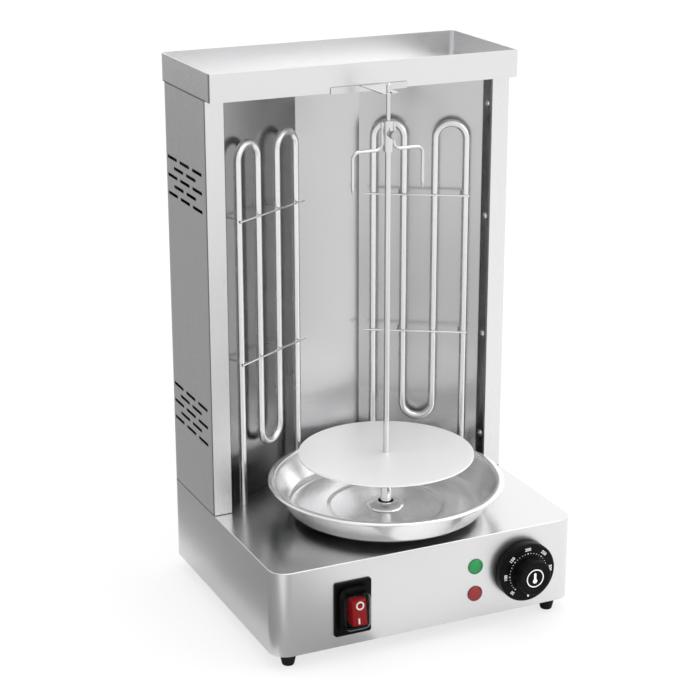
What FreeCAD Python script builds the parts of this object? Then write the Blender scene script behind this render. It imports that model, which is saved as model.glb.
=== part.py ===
"""Vertical rotisserie grill: a counter-top grill with a turning spit in front of two tubular heaters.

Frame: millimetres, +Z up, the front faces -Y and +X is to the viewer's right. The origin is on the
surface the feet stand on, in the middle of the whole object's outline.
"""
import FreeCAD, Part
import math
import os
import re

import Sketcher
from FreeCAD import Placement, Rotation, Vector
from fcgear import fcgear, involute

doc = FreeCAD.newDocument("VerticalGrill")
sheet = doc.addObject("Spreadsheet::Sheet", "Sizes")

# Driving sizes in millimetres and degrees. Heights above the deck end in _rise, and distances
# forward of the housing's back plane end in _depth.
DRIVING = {
    # Housing
    "base_width": 330, "base_depth": 279, "base_height": 88, "foot_height": 16,
    "steel": 1, "front_corner": 18, "corner_radius": 12, "fold_radius": 0.9, "flange_hem": 12,
    "tower_depth": 122, "tower_height": 426, "flange_width": 19, "return_depth": 105,
    "tray_depth": 137, "tray_height": 27.5, "tray_corner": 6,
    "foot_top_radius": 9, "foot_tip_radius": 5.7, "foot_inset_x": 20, "foot_inset_y": 17,
    # Louvres in the tower's sides
    "louvre_length": 27, "louvre_height": 3.4, "louvre_pitch": 34.6, "louvre_row_pitch": 9.3,
    "louvre_depth": 27, "louvre_low_rise": 109.8, "louvre_high_rise": 351.5,
    # Reflector
    "reflector_steel": 0.8, "splay_depth": 104, "centre_depth": 38, "centre_half": 36,
    "strip_screw_depth": 114, "screw_rise_a": 38, "screw_rise_b": 150.5, "screw_rise_c": 279,
    "screw_drop_d": 29,
    # Heaters
    "heater_radius": 4, "heater_pitch": 32, "heater_standoff": 10.5,
    "heater_top_rise": 376, "heater_turn_rise": 56, "heater_leg": 16,
    "support_radius": 1, "support_low_rise": 153, "support_high_rise": 301, "support_overhang": 8,
    # Spit
    "axis_depth": 180, "spit_radius": 3, "spit_pin_radius": 2.1, "spit_step_rise": 404,
    "spit_top_over": 14.5, "spit_foot_rise": 8, "disc_radius": 89, "disc_steel": 1.5, "disc_rise": 62,
    "fork_drop": 50, "fork_half_span": 37.5, "fork_wire_radius": 1.75, "fork_prong": 42,
    "fork_sleeve_radius": 4.8, "fork_sleeve_length": 30, "fork_bend": 7,
    "bracket_width": 82, "bracket_height": 6.5, "tongue_width": 20, "tongue_tip_width": 16,
    "tongue_beyond_axis": 4,
    # Pan and drive
    "pan_radius": 120.5, "pan_height": 37, "pan_floor_radius": 93, "pan_floor_rise": 5, "pan_steel": 0.8, "pan_hole_radius": 8,
    "socket_radius": 5.7, "socket_rise": 26, "shaft_radius": 3.5, "cross_pin_radius": 1,
    "motor_radius": 31, "motor_offset": 13, "gearbox_height": 20, "can_height": 30, "can_wall": 1.2,
    # Controls
    "switch_inset": 81, "switch_z": 56, "bezel_width": 39, "bezel_height": 56.5,
    "collar_width": 32, "collar_height": 47, "collar_reach": 7, "boot_width": 27, "boot_height": 38,
    "boot_reach": 15.8, "boot_wall": 0.8, "rocker_width": 17, "rocker_height": 30, "rocker_reach": 13,
    "rocker_tilt": -6,
    "lamp_inset": 113.7, "green_lamp_z": 72, "red_lamp_z": 42.5, "lamp_radius": 8, "lamp_reach": 3,
    "dial_inset": 60.5, "dial_z": 60, "skirt_radius": 31, "skirt_reach": 13, "grip_radius": 19.5,
    "knob_reach": 28, "dial_shaft_radius": 3,
    "gland_inset": 60, "gland_z": 44, "gland_reach": 12, "gland_radius": 10, "cord_radius": 4,
    # Clearances
    "running": 0.08, "slip": 0.3, "gap": 0.5,
}


class Size:
    """A size that keeps both its number and its formula in the sheet's names."""

    def __init__(self, value, text):
        self.value = float(value)
        self.text = text

    def _join(self, other, sign, turned=False):
        pair = (as_size(other), self) if turned else (self, as_size(other))
        a, b = pair[0].value, pair[1].value
        result = {"+": a + b, "-": a - b, "*": a * b}.get(sign)
        if result is None:
            result = a / b
        return Size(result, f"({pair[0].text} {sign} {pair[1].text})")

    def __add__(self, other):
        return self._join(other, "+")

    def __radd__(self, other):
        return self._join(other, "+", True)

    def __sub__(self, other):
        return self._join(other, "-")

    def __rsub__(self, other):
        return self._join(other, "-", True)

    def __mul__(self, other):
        return self._join(other, "*")

    def __rmul__(self, other):
        return self._join(other, "*", True)

    def __truediv__(self, other):
        return self._join(other, "/")

    def __neg__(self):
        return 0 - self

    def __float__(self):
        return self.value


def as_size(item):
    return item if isinstance(item, Size) else Size(item, repr(float(item)))


class Names:
    """The sheet's sizes as attributes."""


s = Names()
for row, (alias, number) in enumerate(DRIVING.items(), 1):
    sheet.set(f"A{row}", alias)
    sheet.set(f"B{row}", str(number))
    sheet.setAlias(f"B{row}", alias)
doc.recompute()
for alias in DRIVING:
    setattr(s, alias, Size(sheet.get(alias), "Sizes." + alias))

# Places worked out from the driving sizes
half_width = s.base_width / 2
back_y = (s.base_depth + s.knob_reach - s.gland_reach) / 2
front_y = back_y - s.base_depth
deck_z = s.foot_height + s.base_height
under_deck_z = deck_z - s.steel
tower_front_y = back_y - s.tower_depth
tower_top_z = deck_z + s.tower_height
tray_front_y = back_y - s.tray_depth
tray_top_z = tower_top_z + s.tray_height
mouth_half = half_width - s.flange_width
axis_y = back_y - s.axis_depth
strip_screw_y = back_y - s.strip_screw_depth
s.switch_x = s.switch_inset - half_width
s.lamp_x = half_width - s.lamp_inset
s.dial_x = half_width - s.dial_inset
s.gland_x = half_width - s.gland_inset
SCREW_RISES = (s.screw_rise_a, s.screw_rise_b, s.screw_rise_c, s.tower_height - s.screw_drop_d)
LEFT_RIGHT = (-1, 1)

nodes = {}


def bind(item, prop, amount):
    item.setExpression(prop, as_size(amount).text)


def place(item, x, y, z):
    for axis, amount in zip("xyz", (x, y, z)):
        bind(item, "Placement.Base." + axis, amount)


def box(name, x, y, z, dx, dy, dz):
    item = doc.addObject("Part::Box", name)
    for prop, amount in zip(("Length", "Width", "Height"), (dx, dy, dz)):
        bind(item, prop, amount)
    place(item, x, y, z)
    return item


def centred_box(name, x, y, z, dx, dy, dz):
    """A box given by the middle of its footprint and its lower face."""
    return box(name, x - as_size(dx) / 2, y - as_size(dy) / 2, z, dx, dy, dz)


TURNS = {"z": Rotation(), "x": Rotation(Vector(0, 1, 0), 90), "y": Rotation(Vector(1, 0, 0), -90)}


def cylinder(name, x, y, z, radius, length, axis="z"):
    """A cylinder that starts at a point and runs along a positive axis."""
    item = doc.addObject("Part::Cylinder", name)
    item.Placement = Placement(Vector(), TURNS[axis])
    bind(item, "Radius", radius)
    bind(item, "Height", length)
    place(item, x, y, z)
    return item


def cone(name, x, y, z, start_radius, end_radius, length, axis="z"):
    item = doc.addObject("Part::Cone", name)
    item.Placement = Placement(Vector(), TURNS[axis])
    bind(item, "Radius1", start_radius)
    bind(item, "Radius2", end_radius)
    bind(item, "Height", length)
    place(item, x, y, z)
    return item


def rounded_box(name, x, y, z, dx, dy, dz, radius):
    """A centred box whose four edges along Y are rounded."""
    item = doc.addObject("Part::Fillet", name)
    item.Base = centred_box(name + "_box", x, y, z, dx, dy, dz)
    doc.recompute()
    item.Edges = [(number, radius, radius) for number, edge in enumerate(item.Base.Shape.Edges, 1)
                  if abs(edge.tangentAt(edge.FirstParameter).y) > 0.9]
    return item


def fuse(name, *parts):
    item = doc.addObject("Part::MultiFuse", name)
    item.Shapes = list(parts)
    item.Refine = True
    return item


def group(name, parts):
    item = doc.addObject("Part::Compound", name)
    item.Links = list(parts)
    return item


def cut(name, base, tools):
    """The base less the tools, which don't touch each other."""
    item = doc.addObject("Part::Cut", name)
    item.Base = base
    item.Tool = group(name + "_tools", tools)
    return item


def feature(name, shape, at=Vector()):
    item = doc.addObject("Part::Feature", name)
    item.Shape = shape
    item.Placement = Placement(at, Rotation())
    return item


def node(label, item):
    item.Label = label
    nodes[label] = item
    return item


def body(name):
    return doc.addObject("PartDesign::Body", name)


def origin_plane(owner, role):
    return [plane for plane in owner.Origin.OriginFeatures if plane.Role == role][0]


def outline(owner, role, points):
    """A closed sketch of straight edges whose corners are tied to the sheet."""
    sketch = owner.newObject("Sketcher::SketchObject", owner.Name + "_outline")
    sketch.AttachmentSupport = [(origin_plane(owner, role), "")]
    sketch.MapMode = "FlatFace"
    corners = [Vector(float(as_size(x)), float(as_size(y)), 0) for x, y in points]
    count = len(corners)
    for index in range(count):
        sketch.addGeometry(Part.LineSegment(corners[index], corners[(index + 1) % count]))
    for index in range(count):
        sketch.addConstraint(Sketcher.Constraint("Coincident", index, 2, (index + 1) % count, 1))
    for index, point in enumerate(points):
        for kind, amount in zip(("DistanceX", "DistanceY"), point):
            amount = as_size(amount)
            number = sketch.addConstraint(Sketcher.Constraint(kind, -1, 1, index, 1, amount.value))
            sketch.setExpression(f"Constraints[{number}]", amount.text)
    return sketch


def pad(owner, sketch, length):
    item = owner.newObject("PartDesign::Pad", owner.Name + "_pad")
    item.Profile = sketch
    bind(item, "Length", length)
    doc.recompute()
    return item


def revolve(owner, sketch):
    """A full turn of a sketch in the XZ plane about the vertical axis."""
    item = owner.newObject("PartDesign::Revolution", owner.Name + "_turned")
    item.Profile = sketch
    item.ReferenceAxis = (sketch, ["V_Axis"])
    item.Angle = 360
    doc.recompute()
    return item


def round_edges(owner, base, radius, wanted):
    """Rounds the edges of a feature whose middle point passes a test."""
    names = []
    for number, edge in enumerate(base.Shape.Edges, 1):
        middle = edge.valueAt((edge.FirstParameter + edge.LastParameter) / 2)
        if wanted(edge, middle):
            names.append(f"Edge{number}")
    item = owner.newObject("PartDesign::Fillet", owner.Name + "_round")
    item.Base = (base, names)
    bind(item, "Radius", radius)
    doc.recompute()
    return item


def upright(edge):
    """True for a straight vertical edge."""
    ends = edge.Vertexes
    return len(ends) == 2 and abs(ends[0].X - ends[1].X) < 1e-6 and abs(ends[0].Y - ends[1].Y) < 1e-6


def bent_path(points, bend):
    """A wire of straight runs through points, with a tangent arc of the given radius at each turn."""
    points = [Vector(*[float(as_size(c)) for c in point]) for point in points]
    bend = float(as_size(bend))
    edges = []
    start = points[0]
    for before, corner, after in zip(points, points[1:], points[2:]):
        one = (before - corner).normalize()
        two = (after - corner).normalize()
        half = one.getAngle(two) / 2
        reach = bend / math.tan(half)
        enter = corner + one * reach
        leave = corner + two * reach
        centre = corner + (one + two).normalize() * (bend / math.sin(half))
        middle = centre + (corner - centre).normalize() * bend
        edges.append(Part.LineSegment(start, enter).toShape())
        edges.append(Part.Arc(enter, middle, leave).toShape())
        start = leave
    edges.append(Part.LineSegment(start, points[-1]).toShape())
    return Part.Wire(edges)


def tube_shape(points, radius, bend):
    """A round bar along straight runs and arcs."""
    path = bent_path(points, bend)
    first = path.Edges[0]
    along = first.tangentAt(first.FirstParameter)
    ring = Part.Wire(Part.Circle(first.valueAt(first.FirstParameter), along, float(as_size(radius))).toShape())
    return path.makePipeShell([ring], True, False)


# Base shell: one folded sheet with a deck and four walls, open below
base_block = body("base_block")
base_outline = outline(base_block, "XY_Plane", [
    (-half_width, front_y), (half_width, front_y), (half_width, back_y), (-half_width, back_y)])
base_pad = pad(base_block, base_outline, s.base_height)
base_front = round_edges(base_block, base_pad, s.front_corner, lambda edge, middle: upright(edge) and middle.y < 0)
base_round = round_edges(base_block, base_front, s.corner_radius, lambda edge, middle: upright(edge) and middle.y > 0)
base_hollow = base_block.newObject("PartDesign::Thickness", "base_hollow")
lowest_face = min(range(len(base_round.Shape.Faces)), key=lambda n: base_round.Shape.Faces[n].CenterOfMass.z)
base_hollow.Base = (base_round, [f"Face{lowest_face + 1}"])
bind(base_hollow, "Value", s.steel)
base_hollow.Reversed = True
base_hollow.Mode = 0
base_hollow.Join = 0
doc.recompute()
round_edges(base_block, base_hollow, s.fold_radius, lambda edge, middle: (
    abs(middle.z - float(s.base_height)) < 1e-6))
bind(base_block, "Placement.Base.z", s.foot_height)
doc.recompute()

# Directions of the left and right splays in plan, outward from the centre panel
splay_run = float(mouth_half - s.centre_half)
splay_fall = float(s.splay_depth - s.centre_depth)
splay_length = math.hypot(splay_run, splay_fall)


def splay_point(side, along, standoff, z):
    """A point along a splay from the centre panel's corner, standing forward of its outer face."""
    run, fall = splay_run / splay_length, splay_fall / splay_length
    x = float(s.centre_half) + along * run - standoff * fall
    y = float(back_y - s.centre_depth) - along * fall - standoff * run
    return Vector(side * x, y, z)


HEATER_STEPS = (-1.5, -0.5, 0.5, 1.5)
heater_offset = float(s.heater_standoff + s.reflector_steel)
heater_along = [splay_length / 2 + step * float(s.heater_pitch) for step in HEATER_STEPS]
leg_points = [splay_point(side, heater_along[n], heater_offset, 0) for side in LEFT_RIGHT for n in (0, 3)]

# Screw, stud and hole sizes
M4_RADIUS = 2
M4_HEAD_RADIUS = 3.6
M4_HEAD_HEIGHT = 2.4
M4_NUT_RADIUS = 4
M4_NUT_HEIGHT = 3.2
M3_RADIUS = 1.5

# Foot places
foot_places = [(side * (half_width - s.foot_inset_x), y)
               for side in LEFT_RIGHT for y in (front_y + s.foot_inset_y, back_y - s.foot_inset_y)]

# Places of the tower's foot screws and the tray's screws, under the angle brackets
ANGLE_WIDTH = 22
ANGLE_LEG = 16
ANGLE_STEEL = 1.5
ANGLE_DEPTHS = (30, 92)
angle_places = [(side * (half_width - s.steel - ANGLE_LEG / 2 - 1), back_y - depth)
                for side in LEFT_RIGHT for depth in ANGLE_DEPTHS]

# Gear motor places, in plan
motor_y = axis_y + s.motor_offset
STUD_SPREAD = 38
stud_places = [(side * STUD_SPREAD, motor_y) for side in LEFT_RIGHT]

THERMOSTAT_SCREW_SPREAD = 14
SWITCH_BODY_WIDTH = 28
SWITCH_BODY_HEIGHT = 42
SWITCH_BODY_DEPTH = 26
LAMP_STEM_RADIUS = 5
CAPILLARY_RADIUS = 1.2
capillary_x = s.dial_x
capillary_y = back_y - 18
LEAD_HOLE_RADIUS = 7

through_front = front_y - 1
wall_pass = s.steel + 2
front_holes = [
    centred_box("switch_hole", s.switch_x, front_y + s.steel / 2, s.switch_z - SWITCH_BODY_HEIGHT / 2,
                SWITCH_BODY_WIDTH, wall_pass, SWITCH_BODY_HEIGHT),
    cylinder("green_lamp_hole", s.lamp_x, through_front, s.green_lamp_z, LAMP_STEM_RADIUS, wall_pass, "y"),
    cylinder("red_lamp_hole", s.lamp_x, through_front, s.red_lamp_z, LAMP_STEM_RADIUS, wall_pass, "y"),
    cylinder("dial_hole", s.dial_x, through_front, s.dial_z, s.dial_shaft_radius + 2, wall_pass, "y")]
for side in LEFT_RIGHT:
    front_holes.append(cylinder("dial_screw_hole", s.dial_x + side * THERMOSTAT_SCREW_SPREAD, through_front,
                                s.dial_z, M4_RADIUS, wall_pass, "y"))
back_holes = [cylinder("gland_hole", s.gland_x, back_y - s.steel - 1, s.gland_z, s.gland_radius - 2,
                       wall_pass, "y")]
through_deck = under_deck_z - 1
deck_holes = [cylinder("drive_hole", 0, axis_y, through_deck, s.socket_radius + 1, wall_pass),
              cylinder("capillary_hole", capillary_x, capillary_y, through_deck, LEAD_HOLE_RADIUS, wall_pass)]
for point in leg_points:
    deck_holes.append(cylinder("heater_hole", point.x, point.y, through_deck, s.heater_radius + s.slip,
                               wall_pass))
for x, y in angle_places:
    deck_holes.append(cylinder("tower_screw_hole", x, y, through_deck, M4_RADIUS, wall_pass))
node("base_shell", cut("base_shell", base_block, front_holes + back_holes + deck_holes))

# Base plate: fits inside the walls, with two upturned hems and rows of vent slots
plate_body = body("plate_body")
plate_half = half_width - s.steel
plate_outline = outline(plate_body, "XY_Plane", [
    (-plate_half, front_y + s.steel), (plate_half, front_y + s.steel),
    (plate_half, back_y - s.steel), (-plate_half, back_y - s.steel)])
plate_pad = pad(plate_body, plate_outline, s.steel)
plate_front = round_edges(plate_body, plate_pad, s.front_corner - s.steel,
                          lambda edge, middle: upright(edge) and middle.y < 0)
round_edges(plate_body, plate_front, s.corner_radius - s.steel, lambda edge, middle: upright(edge) and middle.y > 0)
bind(plate_body, "Placement.Base.z", s.foot_height)
plate_hems = [box("plate_hem", side * (plate_half - s.steel / 2) - s.steel / 2,
                  front_y + s.front_corner + 6, s.foot_height + s.steel,
                  s.steel, s.base_depth - 2 * (s.front_corner + 6), s.flange_hem) for side in LEFT_RIGHT]
plate_fused = fuse("plate_fused", plate_body, *plate_hems)
VENT_LENGTH = 40
VENT_WIDTH = 4
VENT_PITCH = 12
VENT_COUNT = 6
plate_holes = []
for x, y in foot_places:
    plate_holes.append(cylinder("foot_hole", x, y, s.foot_height - 1, M4_RADIUS, s.steel + 2))
for side in LEFT_RIGHT:
    for number in range(VENT_COUNT):
        offset = (number - (VENT_COUNT - 1) / 2) * VENT_PITCH
        plate_holes.append(centred_box("vent", side * 85, axis_y + 30 + offset, s.foot_height - 1,
                                       VENT_LENGTH, VENT_WIDTH, s.steel + 2))
node("base_plate", cut("base_plate", plate_fused, plate_holes))

# Feet, tapered, with a sunk screw, and a nut on the plate
HEAD_SINK = 5
feet = []
foot_screws = []
foot_nuts = []
for x, y in foot_places:
    foot = cone("foot", x, y, 0, s.foot_tip_radius, s.foot_top_radius, s.foot_height)
    sink = fuse("foot_sink", cylinder("sink", x, y, -1, M4_HEAD_RADIUS + s.slip, HEAD_SINK + 1),
                cylinder("foot_bore", x, y, 0, M4_RADIUS, s.foot_height + 1))
    feet.append(cut("foot_cut", foot, [sink]))
    foot_screws.append(fuse("foot_screw",
                            cylinder("head", x, y, HEAD_SINK - M4_HEAD_HEIGHT, M4_HEAD_RADIUS, M4_HEAD_HEIGHT),
                            cylinder("shank", x, y, HEAD_SINK - 1, M4_RADIUS, s.foot_height + 2)))
    foot_nuts.append(cut("foot_nut", cylinder("nut", x, y, s.foot_height + s.steel, M4_NUT_RADIUS,
                                              M4_NUT_HEIGHT),
                         [cylinder("nut_bore", x, y, s.foot_height, M4_RADIUS, M4_NUT_HEIGHT + 3)]))
node("feet", group("feet", feet))
node("foot_screws", group("foot_screws", foot_screws))
node("foot_nuts", group("foot_nuts", foot_nuts))

# Tower shell: back, sides, front flanges and their returns, folded from one sheet
tower_body = body("tower_body")
return_y = back_y - s.return_depth
inner_half = half_width - s.steel
tower_outline = outline(tower_body, "XY_Plane", [
    (-half_width, tower_front_y), (-half_width, back_y), (half_width, back_y), (half_width, tower_front_y),
    (mouth_half, tower_front_y), (mouth_half, return_y),
    (mouth_half + s.steel, return_y), (mouth_half + s.steel, tower_front_y + s.steel),
    (inner_half, tower_front_y + s.steel), (inner_half, back_y - s.steel),
    (-inner_half, back_y - s.steel), (-inner_half, tower_front_y + s.steel),
    (-mouth_half - s.steel, tower_front_y + s.steel), (-mouth_half - s.steel, return_y),
    (-mouth_half, return_y), (-mouth_half, tower_front_y)])
tower_pad = pad(tower_body, tower_outline, s.tower_height)
tower_round = round_edges(tower_body, tower_pad, s.corner_radius, lambda edge, middle: (
    upright(edge) and abs(middle.y - float(back_y)) < 1e-6))
tower_inside = round_edges(tower_body, tower_round, s.corner_radius - s.steel, lambda edge, middle: (
    upright(edge) and abs(middle.y - float(back_y - s.steel)) < 1e-6 and
    abs(abs(middle.x) - float(inner_half)) < 1e-6))
round_edges(tower_body, tower_inside, s.fold_radius, lambda edge, middle: (
    upright(edge) and abs(middle.y - float(tower_front_y)) < 1e-6 and
    abs(abs(middle.x) - float(half_width)) < 1e-6))
bind(tower_body, "Placement.Base.z", deck_z)


def louvre(y, z):
    """One rounded slot's cutter, long enough to pass through both sides of the tower."""
    reach = s.base_width + 2
    start = -half_width - 1
    radius = s.louvre_height / 2
    straight = s.louvre_length - s.louvre_height
    return fuse("louvre", box("slot", start, y - straight / 2, z - radius, reach, straight, s.louvre_height),
                cylinder("slot_end", start, y - straight / 2, z, radius, reach, "x"),
                cylinder("slot_end", start, y + straight / 2, z, radius, reach, "x"))


LOUVRE_ROWS = (3, 2, 3, 2, 3)
tower_cutters = []
for lowest in (s.louvre_low_rise, s.louvre_high_rise):
    for row, across in enumerate(LOUVRE_ROWS):
        first_y = back_y - s.louvre_depth - (3 - across) * s.louvre_pitch / 2
        for place_number in range(across):
            tower_cutters.append(louvre(first_y - place_number * s.louvre_pitch,
                                        deck_z + lowest - (len(LOUVRE_ROWS) - 1 - row) * s.louvre_row_pitch))
for side in LEFT_RIGHT:
    for rise in SCREW_RISES:
        tower_cutters.append(cylinder("strip_hole", side * (mouth_half + s.steel / 2) - 3, strip_screw_y,
                                      deck_z + rise, M3_RADIUS, 6, "x"))
node("tower_shell", cut("tower_shell", tower_body, tower_cutters))

# Reflector: side strips, splays and a centre panel, one folded sheet
outer_line = [(-mouth_half, tower_front_y + 1.5), (-mouth_half, back_y - s.splay_depth),
              (-s.centre_half, back_y - s.centre_depth), (s.centre_half, back_y - s.centre_depth),
              (mouth_half, back_y - s.splay_depth), (mouth_half, tower_front_y + 1.5)]
reflector_thick = float(s.reflector_steel)
outer_wire = Part.makePolygon([Vector(float(x), float(y), float(deck_z)) for x, y in outer_line])


def inward(points, distance):
    """The line of the folded sheet's front face, its corners mitred."""
    lines = [Vector(float(as_size(x)), float(as_size(y)), 0) for x, y in points]
    result = []
    for index, point in enumerate(lines):
        before = (point - lines[index - 1]).normalize() if index else None
        after = (lines[index + 1] - point).normalize() if index + 1 < len(lines) else None
        directions = [d for d in (before, after) if d is not None]
        normals = [Vector(d.y, -d.x, 0) for d in directions]
        mean = sum(normals[1:], normals[0]).normalize()
        result.append(point + mean * (distance / mean.dot(normals[0])))
    return result


inner_points = inward(outer_line, reflector_thick)
outer_points = [Vector(float(as_size(x)), float(as_size(y)), 0) for x, y in outer_line]
sheet_face = Part.Face(Part.makePolygon(outer_points + inner_points[::-1] + outer_points[:1]))
reflector_shape = sheet_face.extrude(Vector(0, 0, float(s.tower_height)))
reflector_shape.translate(Vector(0, 0, float(deck_z)))
support_legs = [heater_along[n] - float(s.heater_radius + s.support_radius) - 0.5 for n in (1, 3)]
support_rises = (s.support_low_rise, s.support_high_rise)
for side in LEFT_RIGHT:
    for rise in support_rises:
        for along in support_legs:
            start = splay_point(side, along, -5, float(deck_z + rise))
            way = splay_point(side, along, 5, float(deck_z + rise)) - start
            reflector_shape = reflector_shape.cut(
                Part.makeCylinder(float(s.support_radius), 10, start, way))
    for rise in SCREW_RISES:
        start = Vector(side * (float(mouth_half) - 3), float(strip_screw_y), float(deck_z + rise))
        reflector_shape = reflector_shape.cut(Part.makeCylinder(M3_RADIUS, 6, start, Vector(side, 0, 0)))
node("reflector", feature("reflector", reflector_shape))

# Reflector screws: round heads on the inner strips, shanks through the strip and the return
STRIP_HEAD_RADIUS = 3.4
STRIP_HEAD_HEIGHT = 2
STRIP_SCREW_LENGTH = 8
reflector_screws = []
strip_face = mouth_half - s.reflector_steel
for side in LEFT_RIGHT:
    for rise in SCREW_RISES:
        z = deck_z + rise
        head_start = side * (strip_face - STRIP_HEAD_HEIGHT / 2) - STRIP_HEAD_HEIGHT / 2
        shank_start = side * (strip_face + STRIP_SCREW_LENGTH / 2 - 1) - STRIP_SCREW_LENGTH / 2
        reflector_screws.append(fuse(
            "strip_screw",
            cylinder("strip_head", head_start, strip_screw_y, z, STRIP_HEAD_RADIUS, STRIP_HEAD_HEIGHT, "x"),
            cylinder("strip_shank", shank_start, strip_screw_y, z, M3_RADIUS, STRIP_SCREW_LENGTH, "x")))
node("reflector_screws", group("reflector_screws", reflector_screws))


def angle_bracket(side, y, z, upward):
    """A small angle inside the tower's side wall, standing on the deck or hanging under the tray."""
    leg_x = side * (inner_half - ANGLE_LEG / 2) - ANGLE_LEG / 2
    wall_x = side * (inner_half - ANGLE_STEEL / 2) - ANGLE_STEEL / 2
    foot_z = z if upward else z - ANGLE_STEEL
    wall_z = z if upward else z - ANGLE_LEG
    return fuse("angle", box("angle_foot", leg_x, y - ANGLE_WIDTH / 2, foot_z, ANGLE_LEG, ANGLE_WIDTH,
                             ANGLE_STEEL),
                box("angle_wall", wall_x, y - ANGLE_WIDTH / 2, wall_z, ANGLE_STEEL, ANGLE_WIDTH, ANGLE_LEG))


def bored_angle(side, x, y, z, upward):
    return cut("bored_angle", angle_bracket(side, y, z, upward),
               [cylinder("angle_bore", x, y, z - 4, M4_RADIUS, 8)])


angles = []
angle_screws = []
for number, (x, y) in enumerate(angle_places):
    side = LEFT_RIGHT[number // len(ANGLE_DEPTHS)]
    angles.append(bored_angle(side, x, y, deck_z, True))
    angles.append(bored_angle(side, x, y, tower_top_z, False))
    angle_screws.append(fuse("tower_screw",
                             cylinder("tower_head", x, y, under_deck_z - M4_HEAD_HEIGHT, M4_HEAD_RADIUS,
                                      M4_HEAD_HEIGHT),
                             cylinder("tower_shank", x, y, under_deck_z - 1, M4_RADIUS, 8)))
    angle_screws.append(fuse("tray_screw",
                            cylinder("tray_head", x, y, tower_top_z + s.steel, M4_HEAD_RADIUS, M4_HEAD_HEIGHT),
                            cylinder("tray_shank", x, y, tower_top_z - 5, M4_RADIUS, 7)))
node("angle_brackets", group("angle_brackets", angles))
node("angle_screws", group("angle_screws", angle_screws))

# Tray band: the sides and back of the warming tray
band_body = body("band_body")
band_front_y = tray_front_y + s.steel
band_outline = outline(band_body, "XY_Plane", [
    (-half_width, band_front_y), (-half_width, back_y), (half_width, back_y), (half_width, band_front_y),
    (inner_half, band_front_y), (inner_half, back_y - s.steel),
    (-inner_half, back_y - s.steel), (-inner_half, band_front_y)])
band_pad = pad(band_body, band_outline, s.tray_height)
band_round = round_edges(band_body, band_pad, s.tray_corner, lambda edge, middle: (
    upright(edge) and abs(middle.y - float(back_y)) < 1e-6))
round_edges(band_body, band_round, s.tray_corner - s.steel, lambda edge, middle: (
    upright(edge) and abs(middle.y - float(back_y - s.steel)) < 1e-6))
bind(band_body, "Placement.Base.z", tower_top_z)
node("tray_band", band_body)
node("tray_front_panel", box("tray_front_panel", -half_width, tray_front_y, tower_top_z,
                             s.base_width, s.steel, s.tray_height))
floor_body = body("floor_body")
floor_outline = outline(floor_body, "XY_Plane", [
    (-inner_half, band_front_y), (inner_half, band_front_y),
    (inner_half, back_y - s.steel), (-inner_half, back_y - s.steel)])
floor_pad = pad(floor_body, floor_outline, s.steel)
round_edges(floor_body, floor_pad, s.tray_corner - s.steel, lambda edge, middle: (
    upright(edge) and middle.y > 0))
bind(floor_body, "Placement.Base.z", tower_top_z)
node("tray_floor", cut("tray_floor", floor_body, [
    cylinder("floor_hole", x, y, tower_top_z - 1, M4_RADIUS, s.steel + 2) for x, y in angle_places]))

# Top bracket: a strip on the tray's front with a tongue whose notch holds the spit's upper pin
bracket_top_z = tower_top_z - s.steel + s.bracket_height
tongue_tip_y = axis_y - s.tongue_beyond_axis
tongue_body = body("tongue_body")
tongue_outline = outline(tongue_body, "XY_Plane", [
    (-s.tongue_width / 2, tray_front_y), (-s.tongue_tip_width / 2, tongue_tip_y),
    (s.tongue_tip_width / 2, tongue_tip_y), (s.tongue_width / 2, tray_front_y)])
pad(tongue_body, tongue_outline, s.steel)
bind(tongue_body, "Placement.Base.z", bracket_top_z - s.steel)
bracket_strip = box("bracket_strip", -s.bracket_width / 2, tray_front_y - s.steel, tower_top_z - s.steel,
                    s.bracket_width, s.steel, s.bracket_height)
notch_radius = s.spit_pin_radius + s.slip
notch = fuse("notch", cylinder("notch_end", 0, axis_y, bracket_top_z - s.steel - 1, notch_radius, s.steel + 2),
             box("notch_mouth", -notch_radius, tongue_tip_y - 1, bracket_top_z - s.steel - 1,
                 notch_radius * 2, s.tongue_beyond_axis + 1, s.steel + 2))
node("top_bracket", cut("top_bracket", fuse("bracket_plain", bracket_strip, tongue_body), [notch]))

# Heaters: four upright runs each, joined by two arches at the top and a turn at the bottom
heater_top_z = float(deck_z + s.heater_top_rise)
heater_turn_z = float(deck_z + s.heater_turn_rise)
leg_end_z = float(under_deck_z - s.heater_leg)
run_bend = float(s.heater_pitch) / 2


def heater_shape(side):
    """The bent tube, its runs counted from the centre panel outward."""
    def at(run, z):
        return splay_point(side, heater_along[run], heater_offset, z)

    def between(run, z):
        return (at(run, z) + at(run + 1, z)) * 0.5

    low = heater_turn_z + run_bend
    high = heater_top_z - run_bend
    edges = [Part.LineSegment(at(0, leg_end_z), at(0, high)).toShape(),
             Part.Arc(at(0, high), between(0, heater_top_z), at(1, high)).toShape(),
             Part.LineSegment(at(1, high), at(1, low)).toShape(),
             Part.Arc(at(1, low), between(1, heater_turn_z), at(2, low)).toShape(),
             Part.LineSegment(at(2, low), at(2, high)).toShape(),
             Part.Arc(at(2, high), between(2, heater_top_z), at(3, high)).toShape(),
             Part.LineSegment(at(3, high), at(3, leg_end_z)).toShape()]
    ring = Part.Wire(Part.Circle(at(0, leg_end_z), Vector(0, 0, 1), float(s.heater_radius)).toShape())
    return Part.Wire(edges).makePipeShell([ring], True, False)


node("heater_left", feature("heater_left", heater_shape(-1)))
node("heater_right", feature("heater_right", heater_shape(1)))

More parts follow.
